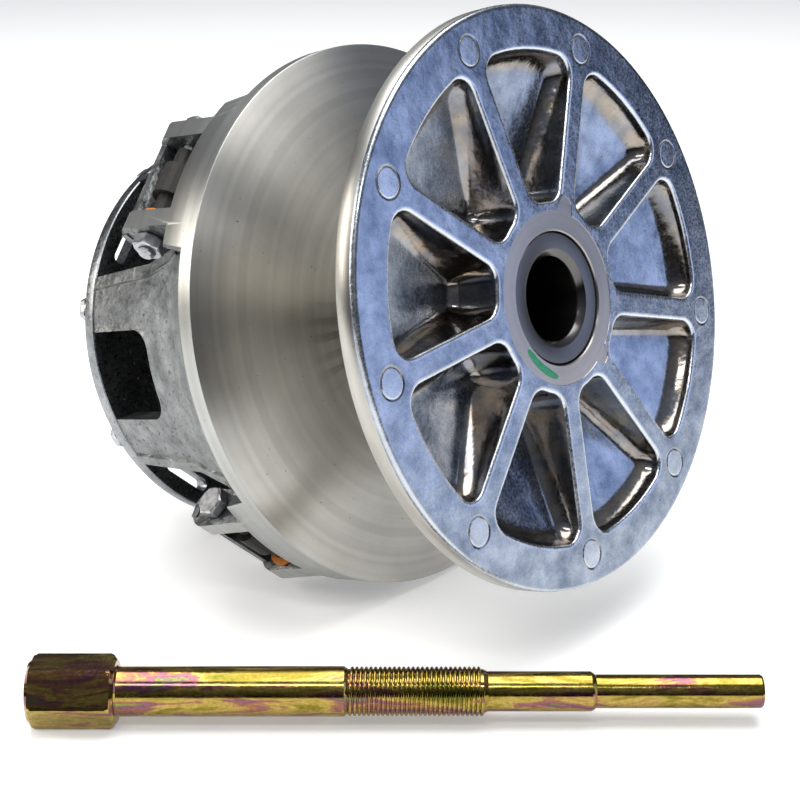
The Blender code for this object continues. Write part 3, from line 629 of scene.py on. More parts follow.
# The ejector marks' rings: how far each reaches out, its height, its share of the painted wall
# reflection and its share of the painted lip highlight.
mark_profile = (
    (0.5, 0, 0, 0),
    (0.1, 0, 0.0, 0.1),
    (-0.15, -0.22, 0.8, 0),
    (-0.45, -0.22, 0.8, 0),
    (-0.65, -0.04, 0, 0.6),
    (-1.1, -0.03, 0, 0.25),
)
for k in range(POCKETS):
    angle = POCKET_PHASE + (2 * k + 1) * pi / POCKETS
    centre = Vector((MARK_AT_R * cos(angle), MARK_AT_R * sin(angle), 0))
    made = []
    for grow, z, cove, painted_highlight in mark_profile:
        made.append(
            maker.ring([centre + Vector(p) for p in circle(MARK_R + grow, z, 32)], cove, painted_highlight)
        )
    for near, far in zip(made, made[1:]):
        maker.bridge(near[::-1], far[::-1])
    maker.work.faces.new(made[-1])
    web_loops.append(made[0])
ROUND = 360
pad_turns = [2 * pi * k / ROUND for k in range(ROUND)]
pad = [
    maker.ring([((pad_edge(a) + out) * cos(a), (pad_edge(a) + out) * sin(a), z) for a in pad_turns])
    for out, z in ((0.7, 0.0), (0.0, 0.0), (-0.12, -0.18))
]
maker.bridge(pad[1], pad[0])
maker.bridge(pad[2], pad[1], 2)
hub = [
    maker.ring(circle(r, z, ROUND))
    for r, z in ((BORE_R + 1.2, -0.18), (BORE_R + 0.35, -0.18), (BORE_R, -0.55), (BORE_R, -6.0))
]
maker.bridge(hub[1], hub[0], 2)
maker.bridge(hub[2], hub[1], 2)
maker.bridge(hub[3], hub[2], 2)
# The rim's rings: radius, height, share of painted wall reflection and share of painted highlight
# on its rounded edge.
rim_profile = (
    (98.0, 0.0, 0, 0),
    (98.75, 0.0, 0, 0),
    (99.45, -0.25, 0, 0.5),
    (99.8, -0.8, 0, 0.35),
    (99.85, -1.9, 0, 0),
)
rim = [maker.ring(circle(r, z, ROUND), c, w) for r, z, c, w in rim_profile]
for near, far in zip(rim, rim[1:]):
    maker.bridge(near, far)
band = [
    maker.ring(circle(r, z, ROUND))
    for r, z in ((99.85, -1.95), (99.98, -2.1), (99.98, -7.5), (99.6, -8.0))
]
maker.bridge(rim[-1], band[0], 1)
for near, far in zip(band, band[1:]):
    maker.bridge(near, far, 1)
belt = [
    maker.ring(circle(r, -RIM_T - (SHEAVE_R - r) * CONE, ROUND))
    for r in (99.5, 90, 75, 60, 45, 30, BORE_R + 0.1)
]
maker.bridge(band[-1], belt[0], 1)
for near, far in zip(belt, belt[1:]):
    maker.bridge(near, far, 1)
maker.bridge(belt[-1], hub[3], 1)
maker.fill([rim[0], pad[0], *web_loops])
maker.fill([pad[2], hub[0]], 2)
fixed_mesh = bpy.data.meshes.new("fixed_sheave")
bmesh.ops.recalc_face_normals(maker.work, faces=maker.work.faces)
maker.work.to_mesh(fixed_mesh)
maker.work.free()
fixed_mesh.materials.append(CAST)
fixed_mesh.materials.append(TURNED)
fixed_mesh.materials.append(PAD)
fixed_mesh.shade_smooth()
fixed_mesh.set_sharp_from_angle(angle=radians(42))
turning_map(fixed_mesh)
hand_over("fixed_sheave_casting", fixed_mesh, "fixed", ["fixed_sheave"])

# Post: the ground steel tube that carries everything. It is turned and ground from bar, with a
# bright face ring inside the pad, a chamfered mouth, and a tapered bore that grips the crankshaft.


def lathe(name, profile, count, finishes, closed=True, sharp=30):
    points, faces = skin([circle(r, z, count) for r, z in profile], closed)
    mesh = facing_out(mesh_of(name, points, faces, finishes, sharp))
    mesh.set_sharp_from_angle(angle=radians(sharp))
    turning_map(mesh)
    return mesh


GROUND = turned_finish("ground_steel", "#666463", 0.2, 0.35, 0.35)
GROOVE_W, PIVOT_BACK, TOWER_L = 67.3, 31.0, 85.0
COVER_GAP, COVER_T, TAIL_OUT = 0.3, 6.0, 28.0
MOVE_Z = -RIM_T - GROOVE_W
PIVOT_Z = MOVE_Z - PIVOT_BACK
TOWER_Z = MOVE_Z - TOWER_L
COVER_IN_Z = TOWER_Z - COVER_GAP
COVER_OUT_Z = COVER_IN_Z - COVER_T
POST_END_Z = COVER_IN_Z - TAIL_OUT
SPIDER_Z = -83.99
JOURNAL_R, SEAT_R, TAIL_R = 21.0, 20.2, 16.5
post_profile = [
    (16.2, -1.5), (16.9, -1.05), (17.3, -1.0), (22.3, -1.0), (22.75, -1.45), (22.75, -28.5),
    (JOURNAL_R, -29.5), (JOURNAL_R, SPIDER_Z), (SEAT_R, SPIDER_Z), (SEAT_R, -110.3),
    (TAIL_R, -112.3), (TAIL_R, POST_END_Z + 1), (TAIL_R - 1, POST_END_Z), (8.5, POST_END_Z),
    (8.5, -98.0), (7.3, -98.0), (7.3, -72.0), (11.0, -72.0), (14.5, -4.0), (14.8, -3.0),
]
post_mesh = lathe("post", post_profile, 180, [GROUND], sharp=25)
hand_over("post_shaft_ground", post_mesh, "fixed", ["post_shaft"])

# Paint mark: a short green stroke that the fitter brushes on the pad once the post is pressed in.
# It is thin lacquer, thicker along its middle, and it thins out at its ends.
lacquer, tree, shader = blank_material("green_lacquer")
spot = in_clutch(tree)
streaks = node(tree, "ShaderNodeTexNoise", {"Vector": spot, "Scale": 0.9, "Detail": 3.0})
tint = node(
    tree,
    "ShaderNodeMix",
    {0: streaks.outputs[0], 6: hex_colour("#00603f"), 7: hex_colour("#1fa06e")},
    data_type="RGBA",
)
tree.links.new(tint.outputs[2], shader.inputs["Base Color"])
shader.inputs["Roughness"].default_value = 0.32
stroke = []
for k in range(25):
    share = k / 24
    angle = radians(210 + 42 * share)
    radius = 25.3 + 1.9 * share**1.5
    half = 1.5 * sqrt(max(1 - (2 * share - 1) ** 4, 0.02))
    lift = -0.18 + 0.07
    stroke.append(
        [
            ((radius + off) * cos(angle), (radius + off) * sin(angle), z)
            for off, z in ((-half, -0.2), (-half * 0.7, lift), (half * 0.7, lift), (half, -0.2))
        ]
    )
points, faces = skin(stroke)
hand_over(
    "green_stroke",
    facing_out(mesh_of("green_stroke", points, faces, [lacquer], 60)),
    "fixed",
)

# Movable sheave: one aluminium casting with a turned belt face and a turned band round its rim.
# Behind the band, four cast towers carry the cover and flank the bays in which the weights swing.
FLARE = ((3, 10), (9, 18), (15, 30), (20.5, 48))
TOWER_R, TOWER_WALL, BAY_W, TOWERS, BAY_PHASE = 76.0, 10.0, 44.0, 4, radians(45.55)
LUG_T, LUG_DEEP, LUG_HALF = 17.0, 16.0, radians(19)
BAND_T = 6.5
MOVE_BORE_R, MOVE_HUB_R = 24.25, 32.0
MOVE_HUB_Z = MOVE_Z + (SHEAVE_R - MOVE_BORE_R) * CONE - 24.0
PIVOT_R = 91.0


def belt_face(radius):
    return (SHEAVE_R - radius) * CONE


def shell_profile():
    """The casting's wall before its bays are cut."""
    inside = TOWER_R - TOWER_WALL
    dish, dish_r = MOVE_Z - 8.0, TOWER_R - TOWER_WALL + 12
    flare = [(SHEAVE_R - inward, MOVE_Z - back) for inward, back in FLARE]
    return [
        (MOVE_BORE_R, MOVE_Z + belt_face(MOVE_BORE_R)),
        (60, MOVE_Z + belt_face(60)),
        (SHEAVE_R - 0.5, MOVE_Z + 0.12),
        (SHEAVE_R, MOVE_Z - 0.3),
        (SHEAVE_R, MOVE_Z - BAND_T + 0.4),
        (SHEAVE_R - 0.5, MOVE_Z - BAND_T),
        *flare,
        (TOWER_R, TOWER_Z),
        (inside, TOWER_Z),
        (inside + 3, MOVE_Z - 38),
        (inside + 10, MOVE_Z - 18),
        (dish_r, dish + belt_face(dish_r)),
        (MOVE_HUB_R + 3, dish + belt_face(MOVE_HUB_R + 3)),
        (MOVE_HUB_R, dish + belt_face(MOVE_HUB_R) - 3),
        (MOVE_HUB_R, MOVE_HUB_Z),
        (MOVE_BORE_R, MOVE_HUB_Z),
    ]


def arc(centre, radius, start, end, steps):
    turns = [start + (end - start) * k / steps for k in range(steps + 1)]
    return [(centre[0] + radius * cos(a), centre[1] + radius * sin(a)) for a in turns]


def prism(outline, low, high, along="Z"):
    """A closed prism of an outline. Along Y its pairs are (x, z), and along X they are (y, z)."""
    spread = {
        "Z": lambda p, d: (p[0], p[1], d),
        "Y": lambda p, d: (p[0], d, p[1]),
        "X": lambda p, d: (d, p[0], p[1]),
    }[along]
    points, faces = skin([[spread(p, d) for p in outline] for d in (low, high)])
    return facing_out(mesh_of("prism", points, faces))


def round_the_axis(mesh, count, first):
    """Copies of a mesh about the crankshaft's axis, as one mesh."""
    tree = bpy.data.node_groups.new("round_the_axis", "GeometryNodeTree")
    sockets = tree.interface
    sockets.new_socket("Geometry", in_out="INPUT", socket_type="NodeSocketGeometry")
    given = {
        name: sockets.new_socket(name, in_out="INPUT", socket_type=kind)
        for name, kind in (
            ("Count", "NodeSocketInt"),
            ("Step", "NodeSocketFloat"),
            ("First angle", "NodeSocketFloat"),
            ("Finish", "NodeSocketMaterial"),
        )
    }
    sockets.new_socket("Geometry", in_out="OUTPUT", socket_type="NodeSocketGeometry")
    start, end = tree.nodes.new("NodeGroupInput"), tree.nodes.new("NodeGroupOutput")
    places = node(tree, "GeometryNodePoints", {0: start.outputs["Count"]})
    index = node(tree, "GeometryNodeInputIndex")
    angle = node(
        tree,
        "ShaderNodeMath",
        {0: index.outputs[0], 1: start.outputs["Step"], 2: start.outputs["First angle"]},
        operation="MULTIPLY_ADD",
    )
    turn = node(tree, "ShaderNodeCombineXYZ", {2: angle.outputs[0]})
    copies = node(
        tree,
        "GeometryNodeInstanceOnPoints",
        {
            "Points": places.outputs[0],
            "Instance": start.outputs["Geometry"],
            "Rotation": turn.outputs[0],
        },
    )
    whole = node(tree, "GeometryNodeRealizeInstances", {0: copies.outputs[0]})
    if mesh.materials:
        whole = node(
            tree,
            "GeometryNodeSetMaterial",
            {0: whole.outputs[0], "Material": start.outputs["Finish"]},
        )
    tree.links.new(whole.outputs[0], end.inputs[0])
    obj = bpy.data.objects.new("pattern", mesh)
    bpy.context.collection.objects.link(obj)
    modifier = obj.modifiers.new("pattern", "NODES")
    modifier.node_group = tree
    modifier[given["Count"].identifier] = count
    modifier[given["Step"].identifier] = 2 * pi / count
    modifier[given["First angle"].identifier] = first
    if mesh.materials:
        modifier[given["Finish"].identifier] = mesh.materials[0]
    return baked(obj)


def baked(obj):
    """The evaluated mesh of an object, which is removed with its modifiers."""
    graph = bpy.context.evaluated_depsgraph_get()
    mesh = bpy.data.meshes.new_from_object(obj.evaluated_get(graph))
    bpy.data.objects.remove(obj)
    return mesh


def carved(base, steps, soften=0.0):
    """Joins meshes to a closed mesh or cuts them from it, in order, then rounds its edges."""
    obj = bpy.data.objects.new("blank", base)
    bpy.context.collection.objects.link(obj)
    tools = []
    for operation, mesh in steps:
        tool = bpy.data.objects.new("tool", mesh)
        bpy.context.collection.objects.link(tool)
        modifier = obj.modifiers.new("step", "BOOLEAN")
        modifier.operation, modifier.object, modifier.solver = operation, tool, "EXACT"
        tools.append(tool)
    if soften:
        rounding = obj.modifiers.new("edges", "BEVEL")
        rounding.width, rounding.segments, rounding.limit_method = soften, 2, "ANGLE"
        rounding.angle_limit = radians(35)
        rounding.harden_normals = False
    mesh = baked(obj)
    for tool in tools:
        bpy.data.objects.remove(tool)
    return mesh


def crosswise(radius, height):
    """Turns a piece made along Z to lie along Y, out from the axis and at a height."""
    return Matrix.Translation((radius, 0, height)) @ Matrix.Rotation(-pi / 2, 4, "X")


lug_rings = []
for z, trim in ((MOVE_Z - BAND_T + 1.5, 0.0), (MOVE_Z - LUG_T + 1, 2.6), (MOVE_Z - LUG_T, 3.6)):
    squeeze = 1 - trim / (SHEAVE_R * LUG_HALF)
    shave = 0.6 if z == MOVE_Z - LUG_T else 0.0
    edge = arc((0, 0), SHEAVE_R - 0.02 - shave, -LUG_HALF * squeeze, LUG_HALF * squeeze, 40)
    edge += arc((0, 0), SHEAVE_R - LUG_DEEP, LUG_HALF * squeeze, -LUG_HALF * squeeze, 40)
    lug_rings.append([(x, y, z) for x, y in edge])
lug = facing_out(mesh_of("lug", *skin(lug_rings)))
low = TOWER_Z - 5
bay = [
    (41, low),
    (115, low),
    (115, MOVE_Z - LUG_T),
    (84, MOVE_Z - LUG_T),
    (82, MOVE_Z - LUG_T + 6),
    (41, MOVE_Z - LUG_T + 6),
]
TOWER_HALF = pi / TOWERS - asin(BAY_W / 2 / TOWER_R)
WINDOW_HALF = TOWER_R * sin(TOWER_HALF) - 18.9
top = TOWER_Z + 34
window = [
    (-WINDOW_HALF, low),
    (WINDOW_HALF, low),
    *arc((WINDOW_HALF - 8, top - 8), 8, 0, pi / 2, 12),
    *arc((8 - WINDOW_HALF, top - 8), 8, pi / 2, pi, 12),
]
ear = [
    (85, MOVE_Z - LUG_T + 1.5),
    (97.5, MOVE_Z - LUG_T + 1.5),
    *arc((PIVOT_R + 1, PIVOT_Z - 12 + 7.5), 7.5, radians(-5), radians(-175), 20),
]
rib_z = PIVOT_Z - 11.2
rib = [(PIVOT_R, rib_z), (PIVOT_R + 5, rib_z), (PIVOT_R + 5, rib_z + 3), (PIVOT_R, rib_z + 3)]
ridge_box = [(45, TOWER_Z - 2), (110, TOWER_Z - 2), (110, MOVE_Z - 22), (45, MOVE_Z - 22)]
RIDGE = 1.1
ridge_wall = [(SHEAVE_R - inward + RIDGE, MOVE_Z - back) for inward, back in FLARE]
ridge_wall += [(TOWER_R + RIDGE, TOWER_Z + 0.4), (TOWER_R - 3, TOWER_Z + 0.4)]
ridge_wall += [(SHEAVE_R - inward - 3, MOVE_Z - back) for inward, back in FLARE[::-1]]
first = BAY_PHASE
grown = lathe("ridge_wall", ridge_wall, 200, [])
ridges = []
RIDGE_IN, RIDGE_OUT = 20.5, 26.2  # a ridge's two sides, from the middle of its bay
for low_y, high_y in ((RIDGE_IN, RIDGE_OUT), (-RIDGE_OUT, -RIDGE_IN)):
    slab = prism(ridge_box, low_y, high_y, "Y")
    ridges.append(
        ("UNION", carved(grown.copy(), [("INTERSECT", round_the_axis(slab, TOWERS, first))]))
    )
bolt_way = lathe("way", [(3.3, -44), (3.3, 44)], 24, [], closed=False)
bolt_way.transform(crosswise(PIVOT_R, PIVOT_Z))
steps = [("UNION", round_the_axis(lug, TOWERS, first))]
steps += ridges
steps += [
    ("DIFFERENCE", round_the_axis(prism(bay, -22, 22, "Y"), TOWERS, first)),
    ("DIFFERENCE", round_the_axis(prism(window, 52, 101, "X"), TOWERS, first + pi / TOWERS)),
    ("UNION", round_the_axis(prism(ear, 15.5, 22.5, "Y"), TOWERS, first)),
    ("UNION", round_the_axis(prism(ear, -22.5, -15.5, "Y"), TOWERS, first)),
    ("UNION", round_the_axis(prism(rib, -23, 23, "Y"), TOWERS, first)),
    ("DIFFERENCE", round_the_axis(bolt_way, TOWERS, first)),
]
TOWER_CAST = cast_finish(
    "sand_grey_cast_aluminium", "#8e9192", "#5a5d5e", "#5f574c", 0.38, 0.085, 5.0
)
BAND = turned_finish("turned_band", "#b3b4b1", 0.36, 0.5, 0.5)
moving_mesh = carved(lathe("moving_sheave", shell_profile(), 240, []), steps, 0.7)
moving_mesh.materials.clear()
for finish in (TOWER_CAST, TURNED, BAND):
    moving_mesh.materials.append(finish)
for face in moving_mesh.polygons:
    spot, radius = face.center, hypot(face.center.x, face.center.y)
    face.material_index = 0
    if spot.z > MOVE_Z - 0.2 and radius < SHEAVE_R - 0.3 or radius < MOVE_HUB_R + 0.2:
        face.material_index = 1
    elif radius > SHEAVE_R - 1.2 and face.normal.z > -0.6:
        face.material_index = 2
moving_mesh.shade_smooth()
moving_mesh.set_sharp_from_angle(angle=radians(32))
turning_map(moving_mesh)
hand_over("moving_sheave_casting", moving_mesh, "moving", ["moving_sheave"])

# Cover: a cast plate that closes the towers' ends and holds the spring down, with a dished middle
# round the post, four slots to see the weights through, and two screws into each tower.
cover_r = TOWER_R + 0.3
dome = COVER_IN_Z - 10
cover_profile = [
    (19.9, dome), (40, dome), (43, dome + 0.6), (49, COVER_IN_Z - 0.4), (51, COVER_IN_Z),
    (cover_r - 0.4, COVER_IN_Z), (cover_r, COVER_IN_Z - 0.4), (cover_r, COVER_OUT_Z + 1),
    (cover_r - 1, COVER_OUT_Z), (53, COVER_OUT_Z), (51, COVER_OUT_Z - 0.6), (45, dome - 5.2),
    (43, dome - 6), (24.9, dome - 6), (23.9, dome - 13.4), (23.3, dome - 14), (19.9, dome - 14),
]
half_l, half_w = 11.0, 2.5
SLOT_AT_R, SCREW_AT_R = 67.3, 70.5
slot = arc((SLOT_AT_R, half_l - half_w), half_w, 0, pi, 12)
slot += arc((SLOT_AT_R, half_w - half_l), half_w, pi, 2 * pi, 12)
window_edge, bay_edge = asin(WINDOW_HALF / SCREW_AT_R), asin(BAY_W / 2 / SCREW_AT_R)
SCREW_OFF = (window_edge + pi / TOWERS - bay_edge) / 2
cover_mesh = carved(
    lathe("cover", cover_profile, 240, []),
    [("DIFFERENCE", round_the_axis(prism(slot, COVER_OUT_Z - 5, COVER_IN_Z + 5), TOWERS, first))],
    0.5,
)
COVER_CAST = cast_finish("shell_cast_aluminium", "#a0a3a6", "#75787d", "#4f4a44", 0.3, 0.03, 1.5)
cover_mesh.materials.clear()
cover_mesh.materials.append(COVER_CAST)
cover_mesh.shade_smooth()
cover_mesh.set_sharp_from_angle(angle=radians(32))
hand_over("cover_casting", cover_mesh, "moving", ["cover"])

# Cover screws: zinc-plated steel, with a washer face under a chamfered hexagon head. A pair holds
# the cover to each tower, and the plating has worn to a patchy grey.


def hexagon(across_flats, z, count, round_r=None):
    ring = []
    for k in range(count):
        a = k * 2 * pi / count
        off = (a + pi / 6) % (pi / 3) - pi / 6
        reach = min(across_flats / 2 / cos(off), round_r or across_flats)
        ring.append((reach * cos(a), reach * sin(a), z))
    return ring


def hex_screw(across, head, shank_r, length, finishes):
    """A hexagon screw along Z: its head's underside is at zero and its shank runs up."""
    rings = [
        circle(across * 0.2, -head + 0.35, 48),
        circle(across * 0.4, -head, 48),
        hexagon(across, -head + 0.15, 48, across * 0.47),
        hexagon(across, -head + 0.6, 48, across * 0.555),
        hexagon(across, -0.5, 48, across * 0.565),
        hexagon(across, -0.45, 48, across * 0.5),
        circle(across * 0.49, 0, 48),
        circle(shank_r, 0, 48),
        circle(shank_r, length - 0.8, 48),
        circle(shank_r - 0.7, length, 48),
    ]
    return facing_out(mesh_of("screw", *skin(rings), finishes, 25))


PLATED, tree, shader = blank_material("zinc_plated_steel")
spot = in_clutch(tree)
wear = node(tree, "ShaderNodeTexNoise", {"Vector": spot, "Scale": 0.55, "Detail": 4.0})
shade = node(
    tree,
    "ShaderNodeMix",
    {0: wear.outputs[0], 6: hex_colour("#6f7278"), 7: hex_colour("#d8dadd")},
    data_type="RGBA",
)
tree.links.new(shade.outputs[2], shader.inputs["Base Color"])
shader.inputs["Metallic"].default_value = 1.0
rough = node(tree, "ShaderNodeMapRange", {"Value": wear.outputs[0], "To Min": 0.18, "To Max": 0.5})
tree.links.new(rough.outputs[0], shader.inputs["Roughness"])
pair = bmesh.new()
for side in (-1, 1):
    screw = hex_screw(10, 4, 3, 24, [PLATED])
    turn = Matrix.Rotation(side * SCREW_OFF, 4, "Z") @ Matrix.Translation(
        (SCREW_AT_R, 0, COVER_OUT_Z - 0.3)
    )
    screw.transform(turn)
    pair.from_mesh(screw)
screws = bpy.data.meshes.new("screws")
pair.to_mesh(screws)
screws.materials.append(PLATED)
screws = round_the_axis(screws, TOWERS, first + pi / TOWERS)
screws.set_sharp_from_angle(angle=radians(25))
hand_over(
    "cover_screws", screws, "moving", [f"cover_screw_{k}" for k in range(1, 9)]
)

# Drive spring: oiled steel wire wound to five and a half turns between the spider and the cover,
# which it pushes back until the belt is loose.


def coil(name, turns, radius, height, wire, finish, steps=64, sides=16):
    """A wire along a helix up Z, from a tree whose inputs are the winding's own sizes."""
    tree = bpy.data.node_groups.new(name, "GeometryNodeTree")
    sockets = tree.interface
    kinds = (
        ("Turns", "NodeSocketFloat", turns),
        ("Radius", "NodeSocketFloat", radius),
        ("Height", "NodeSocketFloat", height),
        ("Wire radius", "NodeSocketFloat", wire),
        ("Points to a turn", "NodeSocketInt", steps),
        ("Sides", "NodeSocketInt", sides),
        ("Finish", "NodeSocketMaterial", finish),
    )
    given = {
        name: sockets.new_socket(name, in_out="INPUT", socket_type=kind) for name, kind, _ in kinds
    }
    sockets.new_socket("Geometry", in_out="OUTPUT", socket_type="NodeSocketGeometry")
    start, end = tree.nodes.new("NodeGroupInput"), tree.nodes.new("NodeGroupOutput")
    helix = node(
        tree,
        "GeometryNodeCurveSpiral",
        {
            "Resolution": start.outputs["Points to a turn"],
            "Rotations": start.outputs["Turns"],
            "Start Radius": start.outputs["Radius"],
            "End Radius": start.outputs["Radius"],
            "Height": start.outputs["Height"],
        },
    )
    section = node(
        tree,
        "GeometryNodeCurvePrimitiveCircle",
        {"Resolution": start.outputs["Sides"], "Radius": start.outputs["Wire radius"]},
    )
    swept = node(
        tree,
        "GeometryNodeCurveToMesh",
        {"Curve": helix.outputs[0], "Profile Curve": section.outputs[0], "Fill Caps": True},
    )
    whole = node(tree, "GeometryNodeRealizeInstances", {0: swept.outputs[0]})
    painted = node(
        tree, "GeometryNodeSetMaterial", {0: whole.outputs[0], "Material": start.outputs["Finish"]}
    )
    tree.links.new(painted.outputs[0], end.inputs[0])
    obj = bpy.data.objects.new(name, bpy.data.meshes.new(name))
    bpy.context.collection.objects.link(obj)
    modifier = obj.modifiers.new("winding", "NODES")
    modifier.node_group = tree
    for key, _, value in kinds:
        modifier[given[key].identifier] = value
    mesh = baked(obj)
    mesh.shade_smooth()
    return mesh


oiled, tree, shader = blank_material("oiled_spring_steel")
spot = in_clutch(tree)
mix_share = node(tree, "ShaderNodeTexNoise", {"Vector": spot, "Scale": 0.3, "Detail": 4.0})
shade = node(
    tree,
    "ShaderNodeMix",
    {0: mix_share.outputs[0], 6: hex_colour("#2b2c30"), 7: hex_colour("#6b6a68")},
    data_type="RGBA",
)
tree.links.new(shade.outputs[2], shader.inputs["Base Color"])
shader.inputs["Metallic"].default_value = 1.0
rough = node(tree, "ShaderNodeMapRange", {"Value": mix_share.outputs[0], "To Min": 0.22, "To Max": 0.5})
tree.links.new(rough.outputs[0], shader.inputs["Roughness"])
TURNS, SPRING_R, WIRE_R, STROKE = 5.5, 31.5, 2.7, 25
spring_top, spring_low = SPIDER_Z - 18 - 0.3 - 2.9, dome + 0.3 + 2.9
spring_mesh = coil("drive_spring", TURNS, SPRING_R, spring_top - spring_low, WIRE_R, oiled)
spring_mesh.transform(Matrix.Translation((0, 0, spring_low)))
spring = hand_over("drive_spring_wound", spring_mesh, "fixed", ["drive_spring"])
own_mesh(spring)

# Puller bolt: turned from hexagon bar, with a fine thread that bites the post, then a pilot and a
# thin tip that push on the crankshaft. It is plated with yellow-passivated zinc.
zinc, tree, shader = blank_material("yellow_passivated_zinc")
spot = node(tree, "ShaderNodeTexCoord").outputs["Object"]
yaw = radians(40.5)
bolt_start = Vector((-0.038368, -0.131175, 0.0105))
BOLT = Matrix.Translation(bolt_start) @ Matrix.Rotation(yaw, 4, "Z") @ Matrix.Rotation(
    pi / 2, 4, "Y"
) @ Matrix.Scale(MM, 4)
local = node(
    tree, "ShaderNodeMapping", {0: spot, 2: (0, 0, -yaw), 3: (1000, 1000, 1000)}
).outputs[0]
long = node(
    tree, "ShaderNodeVectorMath", {0: local, 1: (0.22, 1.0, 1.0)}, operation="MULTIPLY"
).outputs[0]
# The ramp's colours are the passivation's own tints; their long streaks along the bolt are painted
# reflections of the room.
tints_and_painted_streaks = node(
    tree,
    "ShaderNodeTexNoise",
    {"Vector": long, "Scale": 0.13, "Detail": 5.0, "Roughness": 0.65, "Distortion": 0.8},
)
ramp = node(tree, "ShaderNodeValToRGB", {0: tints_and_painted_streaks.outputs[0]})
stops = (
    (0.28, "#5a6427"), (0.4, "#86752f"), (0.48, "#b09a50"), (0.54, "#94684a"), (0.6, "#7d5068"),
    (0.66, "#6f7d3a"), (0.76, "#9c873c"),
)
elements = ramp.color_ramp.elements
elements[0].position, elements[0].color = stops[0][0], hex_colour(stops[0][1])
elements[1].position, elements[1].color = stops[-1][0], hex_colour(stops[-1][1])
for place, code in stops[1:-1]:
    elements.new(place).color = hex_colour(code)
dust = node(
    tree, "ShaderNodeTexNoise", {"Vector": local, "Scale": 0.8, "Detail": 5.0, "Roughness": 0.7}
)
dull = node(
    tree,
    "ShaderNodeMapRange",
    {"Value": dust.outputs[0], "From Min": 0.35, "From Max": 0.65, "To Min": 0.72, "To Max": 1.05},
)
toned = node(
    tree,
    "ShaderNodeMix",
    {0: 1.0, 6: ramp.outputs[0], 7: dull.outputs[0]},
    data_type="RGBA",
    blend_type="MULTIPLY",
)
tree.links.new(toned.outputs[2], shader.inputs["Base Color"])
shader.inputs["Metallic"].default_value = 1.0
rough = node(
    tree,
    "ShaderNodeMapRange",
    {"Value": dust.outputs[0], "From Min": 0.3, "From Max": 0.7, "To Min": 0.07, "To Max": 0.22},
)
tree.links.new(rough.outputs[0], shader.inputs["Roughness"])
tooling = node(
    tree, "ShaderNodeVectorMath", {0: local, 1: (3.0, 0.12, 0.12)}, operation="MULTIPLY"
).outputs[0]
lines = node(tree, "ShaderNodeTexNoise", {"Vector": tooling, "Scale": 1.0, "Detail": 2.0})
scored = node(
    tree, "ShaderNodeBump", {"Strength": 0.3, "Distance": 0.00008, "Height": lines.outputs[0]}
)
tree.links.new(scored.outputs[0], shader.inputs["Normal"])

AF, HEAD_L, SHANK_R = 21.0, 28.0, 8.0
SHANK_END, THREAD_END, PILOT_END, TIP_END = 101.0, 146.5, 181.0, 234.5
PITCH_MM, ROOT_R = 1.5, 7.1
COUNT = 96
bolt_rings = [
    circle(AF * 0.25, 0.15, COUNT),
    circle(AF * 0.44, 0, COUNT),
    hexagon(AF, 0.12, COUNT, AF * 0.475),
    hexagon(AF, 1.1, COUNT, AF * 0.545),
    hexagon(AF, 2.2, COUNT, AF * 0.572),
]
bolt_rings += [
    hexagon(AF, HEAD_L - 2.2, COUNT, AF * 0.572),
    hexagon(AF, HEAD_L - 1.1, COUNT, AF * 0.545),
    hexagon(AF, HEAD_L - 0.1, COUNT, AF * 0.475),
    circle(AF * 0.44, HEAD_L, COUNT),
]
turned_steps = [
    (SHANK_R + 0.5, HEAD_L), (SHANK_R, HEAD_L + 0.5), (SHANK_R, SHANK_END - 0.3),
    (SHANK_R - 0.3, SHANK_END), (ROOT_R + 0.1, SHANK_END + 0.7), (ROOT_R, SHANK_END + 1),
    (ROOT_R, THREAD_END - 1.5), (6.4, THREAD_END), (6.4, PILOT_END - 1.5),
    (5.9, PILOT_END - 0.5), (5.4, PILOT_END), (5.4, TIP_END - 0.9), (5.15, TIP_END - 0.3),
    (4.5, TIP_END),
]
bolt_rings += [circle(r, z, COUNT) for r, z in turned_steps]
bolt_mesh = facing_out(mesh_of("puller", *skin(bolt_rings), [zinc], 22))
bolt_mesh.set_sharp_from_angle(angle=radians(22))
hand_over("puller_bolt_turned", bolt_mesh, "puller", ["puller_bolt"], BOLT)
thread_l = THREAD_END - SHANK_END - 3.0
thread_mesh = coil("thread", thread_l / PITCH_MM, ROOT_R + 0.2, thread_l, 0.62, zinc, 48, 8)
thread_mesh.transform(Matrix.Translation((0, 0, SHANK_END + 1.3)))
hand_over("puller_thread", thread_mesh, "puller", (), BOLT)

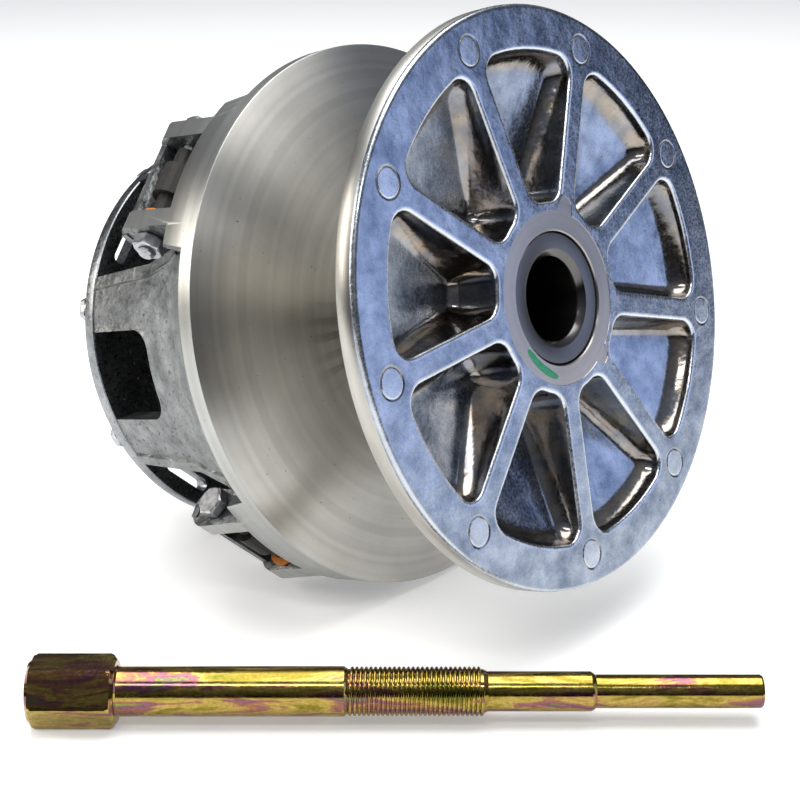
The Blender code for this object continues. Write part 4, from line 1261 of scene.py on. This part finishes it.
# Pieces whose solids are right: the spider, weights, rollers, pins, bushes, buttons and washers
# keep their shape and take the finish of the real ones.


def plain_finish(name, light, dark, metal, smooth, rough, scale, bump):
    made, tree, shader = blank_material(name)
    spot = in_clutch(tree)
    clouds = node(
        tree,
        "ShaderNodeTexNoise",
        {"Vector": spot, "Scale": scale, "Detail": 5.0, "Roughness": 0.6},
    )
    tone = node(
        tree,
        "ShaderNodeMix",
        {0: clouds.outputs[0], 6: hex_colour(dark), 7: hex_colour(light)},
        data_type="RGBA",
    )
    tree.links.new(tone.outputs[2], shader.inputs["Base Color"])
    shader.inputs["Metallic"].default_value = metal
    gloss = node(
        tree, "ShaderNodeMapRange", {"Value": clouds.outputs[0], "To Min": smooth, "To Max": rough}
    )
    tree.links.new(gloss.outputs[0], shader.inputs["Roughness"])
    relief = node(
        tree, "ShaderNodeBump", {"Strength": 0.4, "Distance": bump, "Height": clouds.outputs[0]}
    )
    tree.links.new(relief.outputs[0], shader.inputs["Normal"])
    return made


FINISHES = {
    "polished_steel": PLATED,
    "spider_iron": plain_finish(
        "blackened_cast_iron", "#4b4a4a", "#232324", 0.85, 0.4, 0.7, 0.9, 0.0003
    ),
    "sintered_steel": plain_finish(
        "sintered_steel", "#4a4846", "#1d1c1c", 0.75, 0.45, 0.75, 1.4, 0.0002
    ),
    "bush_bronze": plain_finish(
        "sintered_bronze", "#b99155", "#7d5f36", 1.0, 0.3, 0.55, 1.2, 0.0001
    ),
    "button_plastic": plain_finish(
        "moulded_nylon", "#2c2c2e", "#18181a", 0.0, 0.35, 0.55, 0.7, 0.00005
    ),
    "orange_washer": plain_finish(
        "orange_polymer", "#e8902c", "#c46a10", 0.0, 0.4, 0.6, 0.8, 0.00005
    ),
}
slots = {p["node"]: p["material_slot"] for p in frame["record"]["subparts"]}
slots.update({f"flyweight_bush_{k}": "sintered_steel" for k in range(1, 5)})
for name, obj in frame["nodes"].items():
    if slots[name] in FINISHES and not obj.hide_render:
        obj.data.materials.clear()
        obj.data.materials.append(FINISHES[slots[name]])
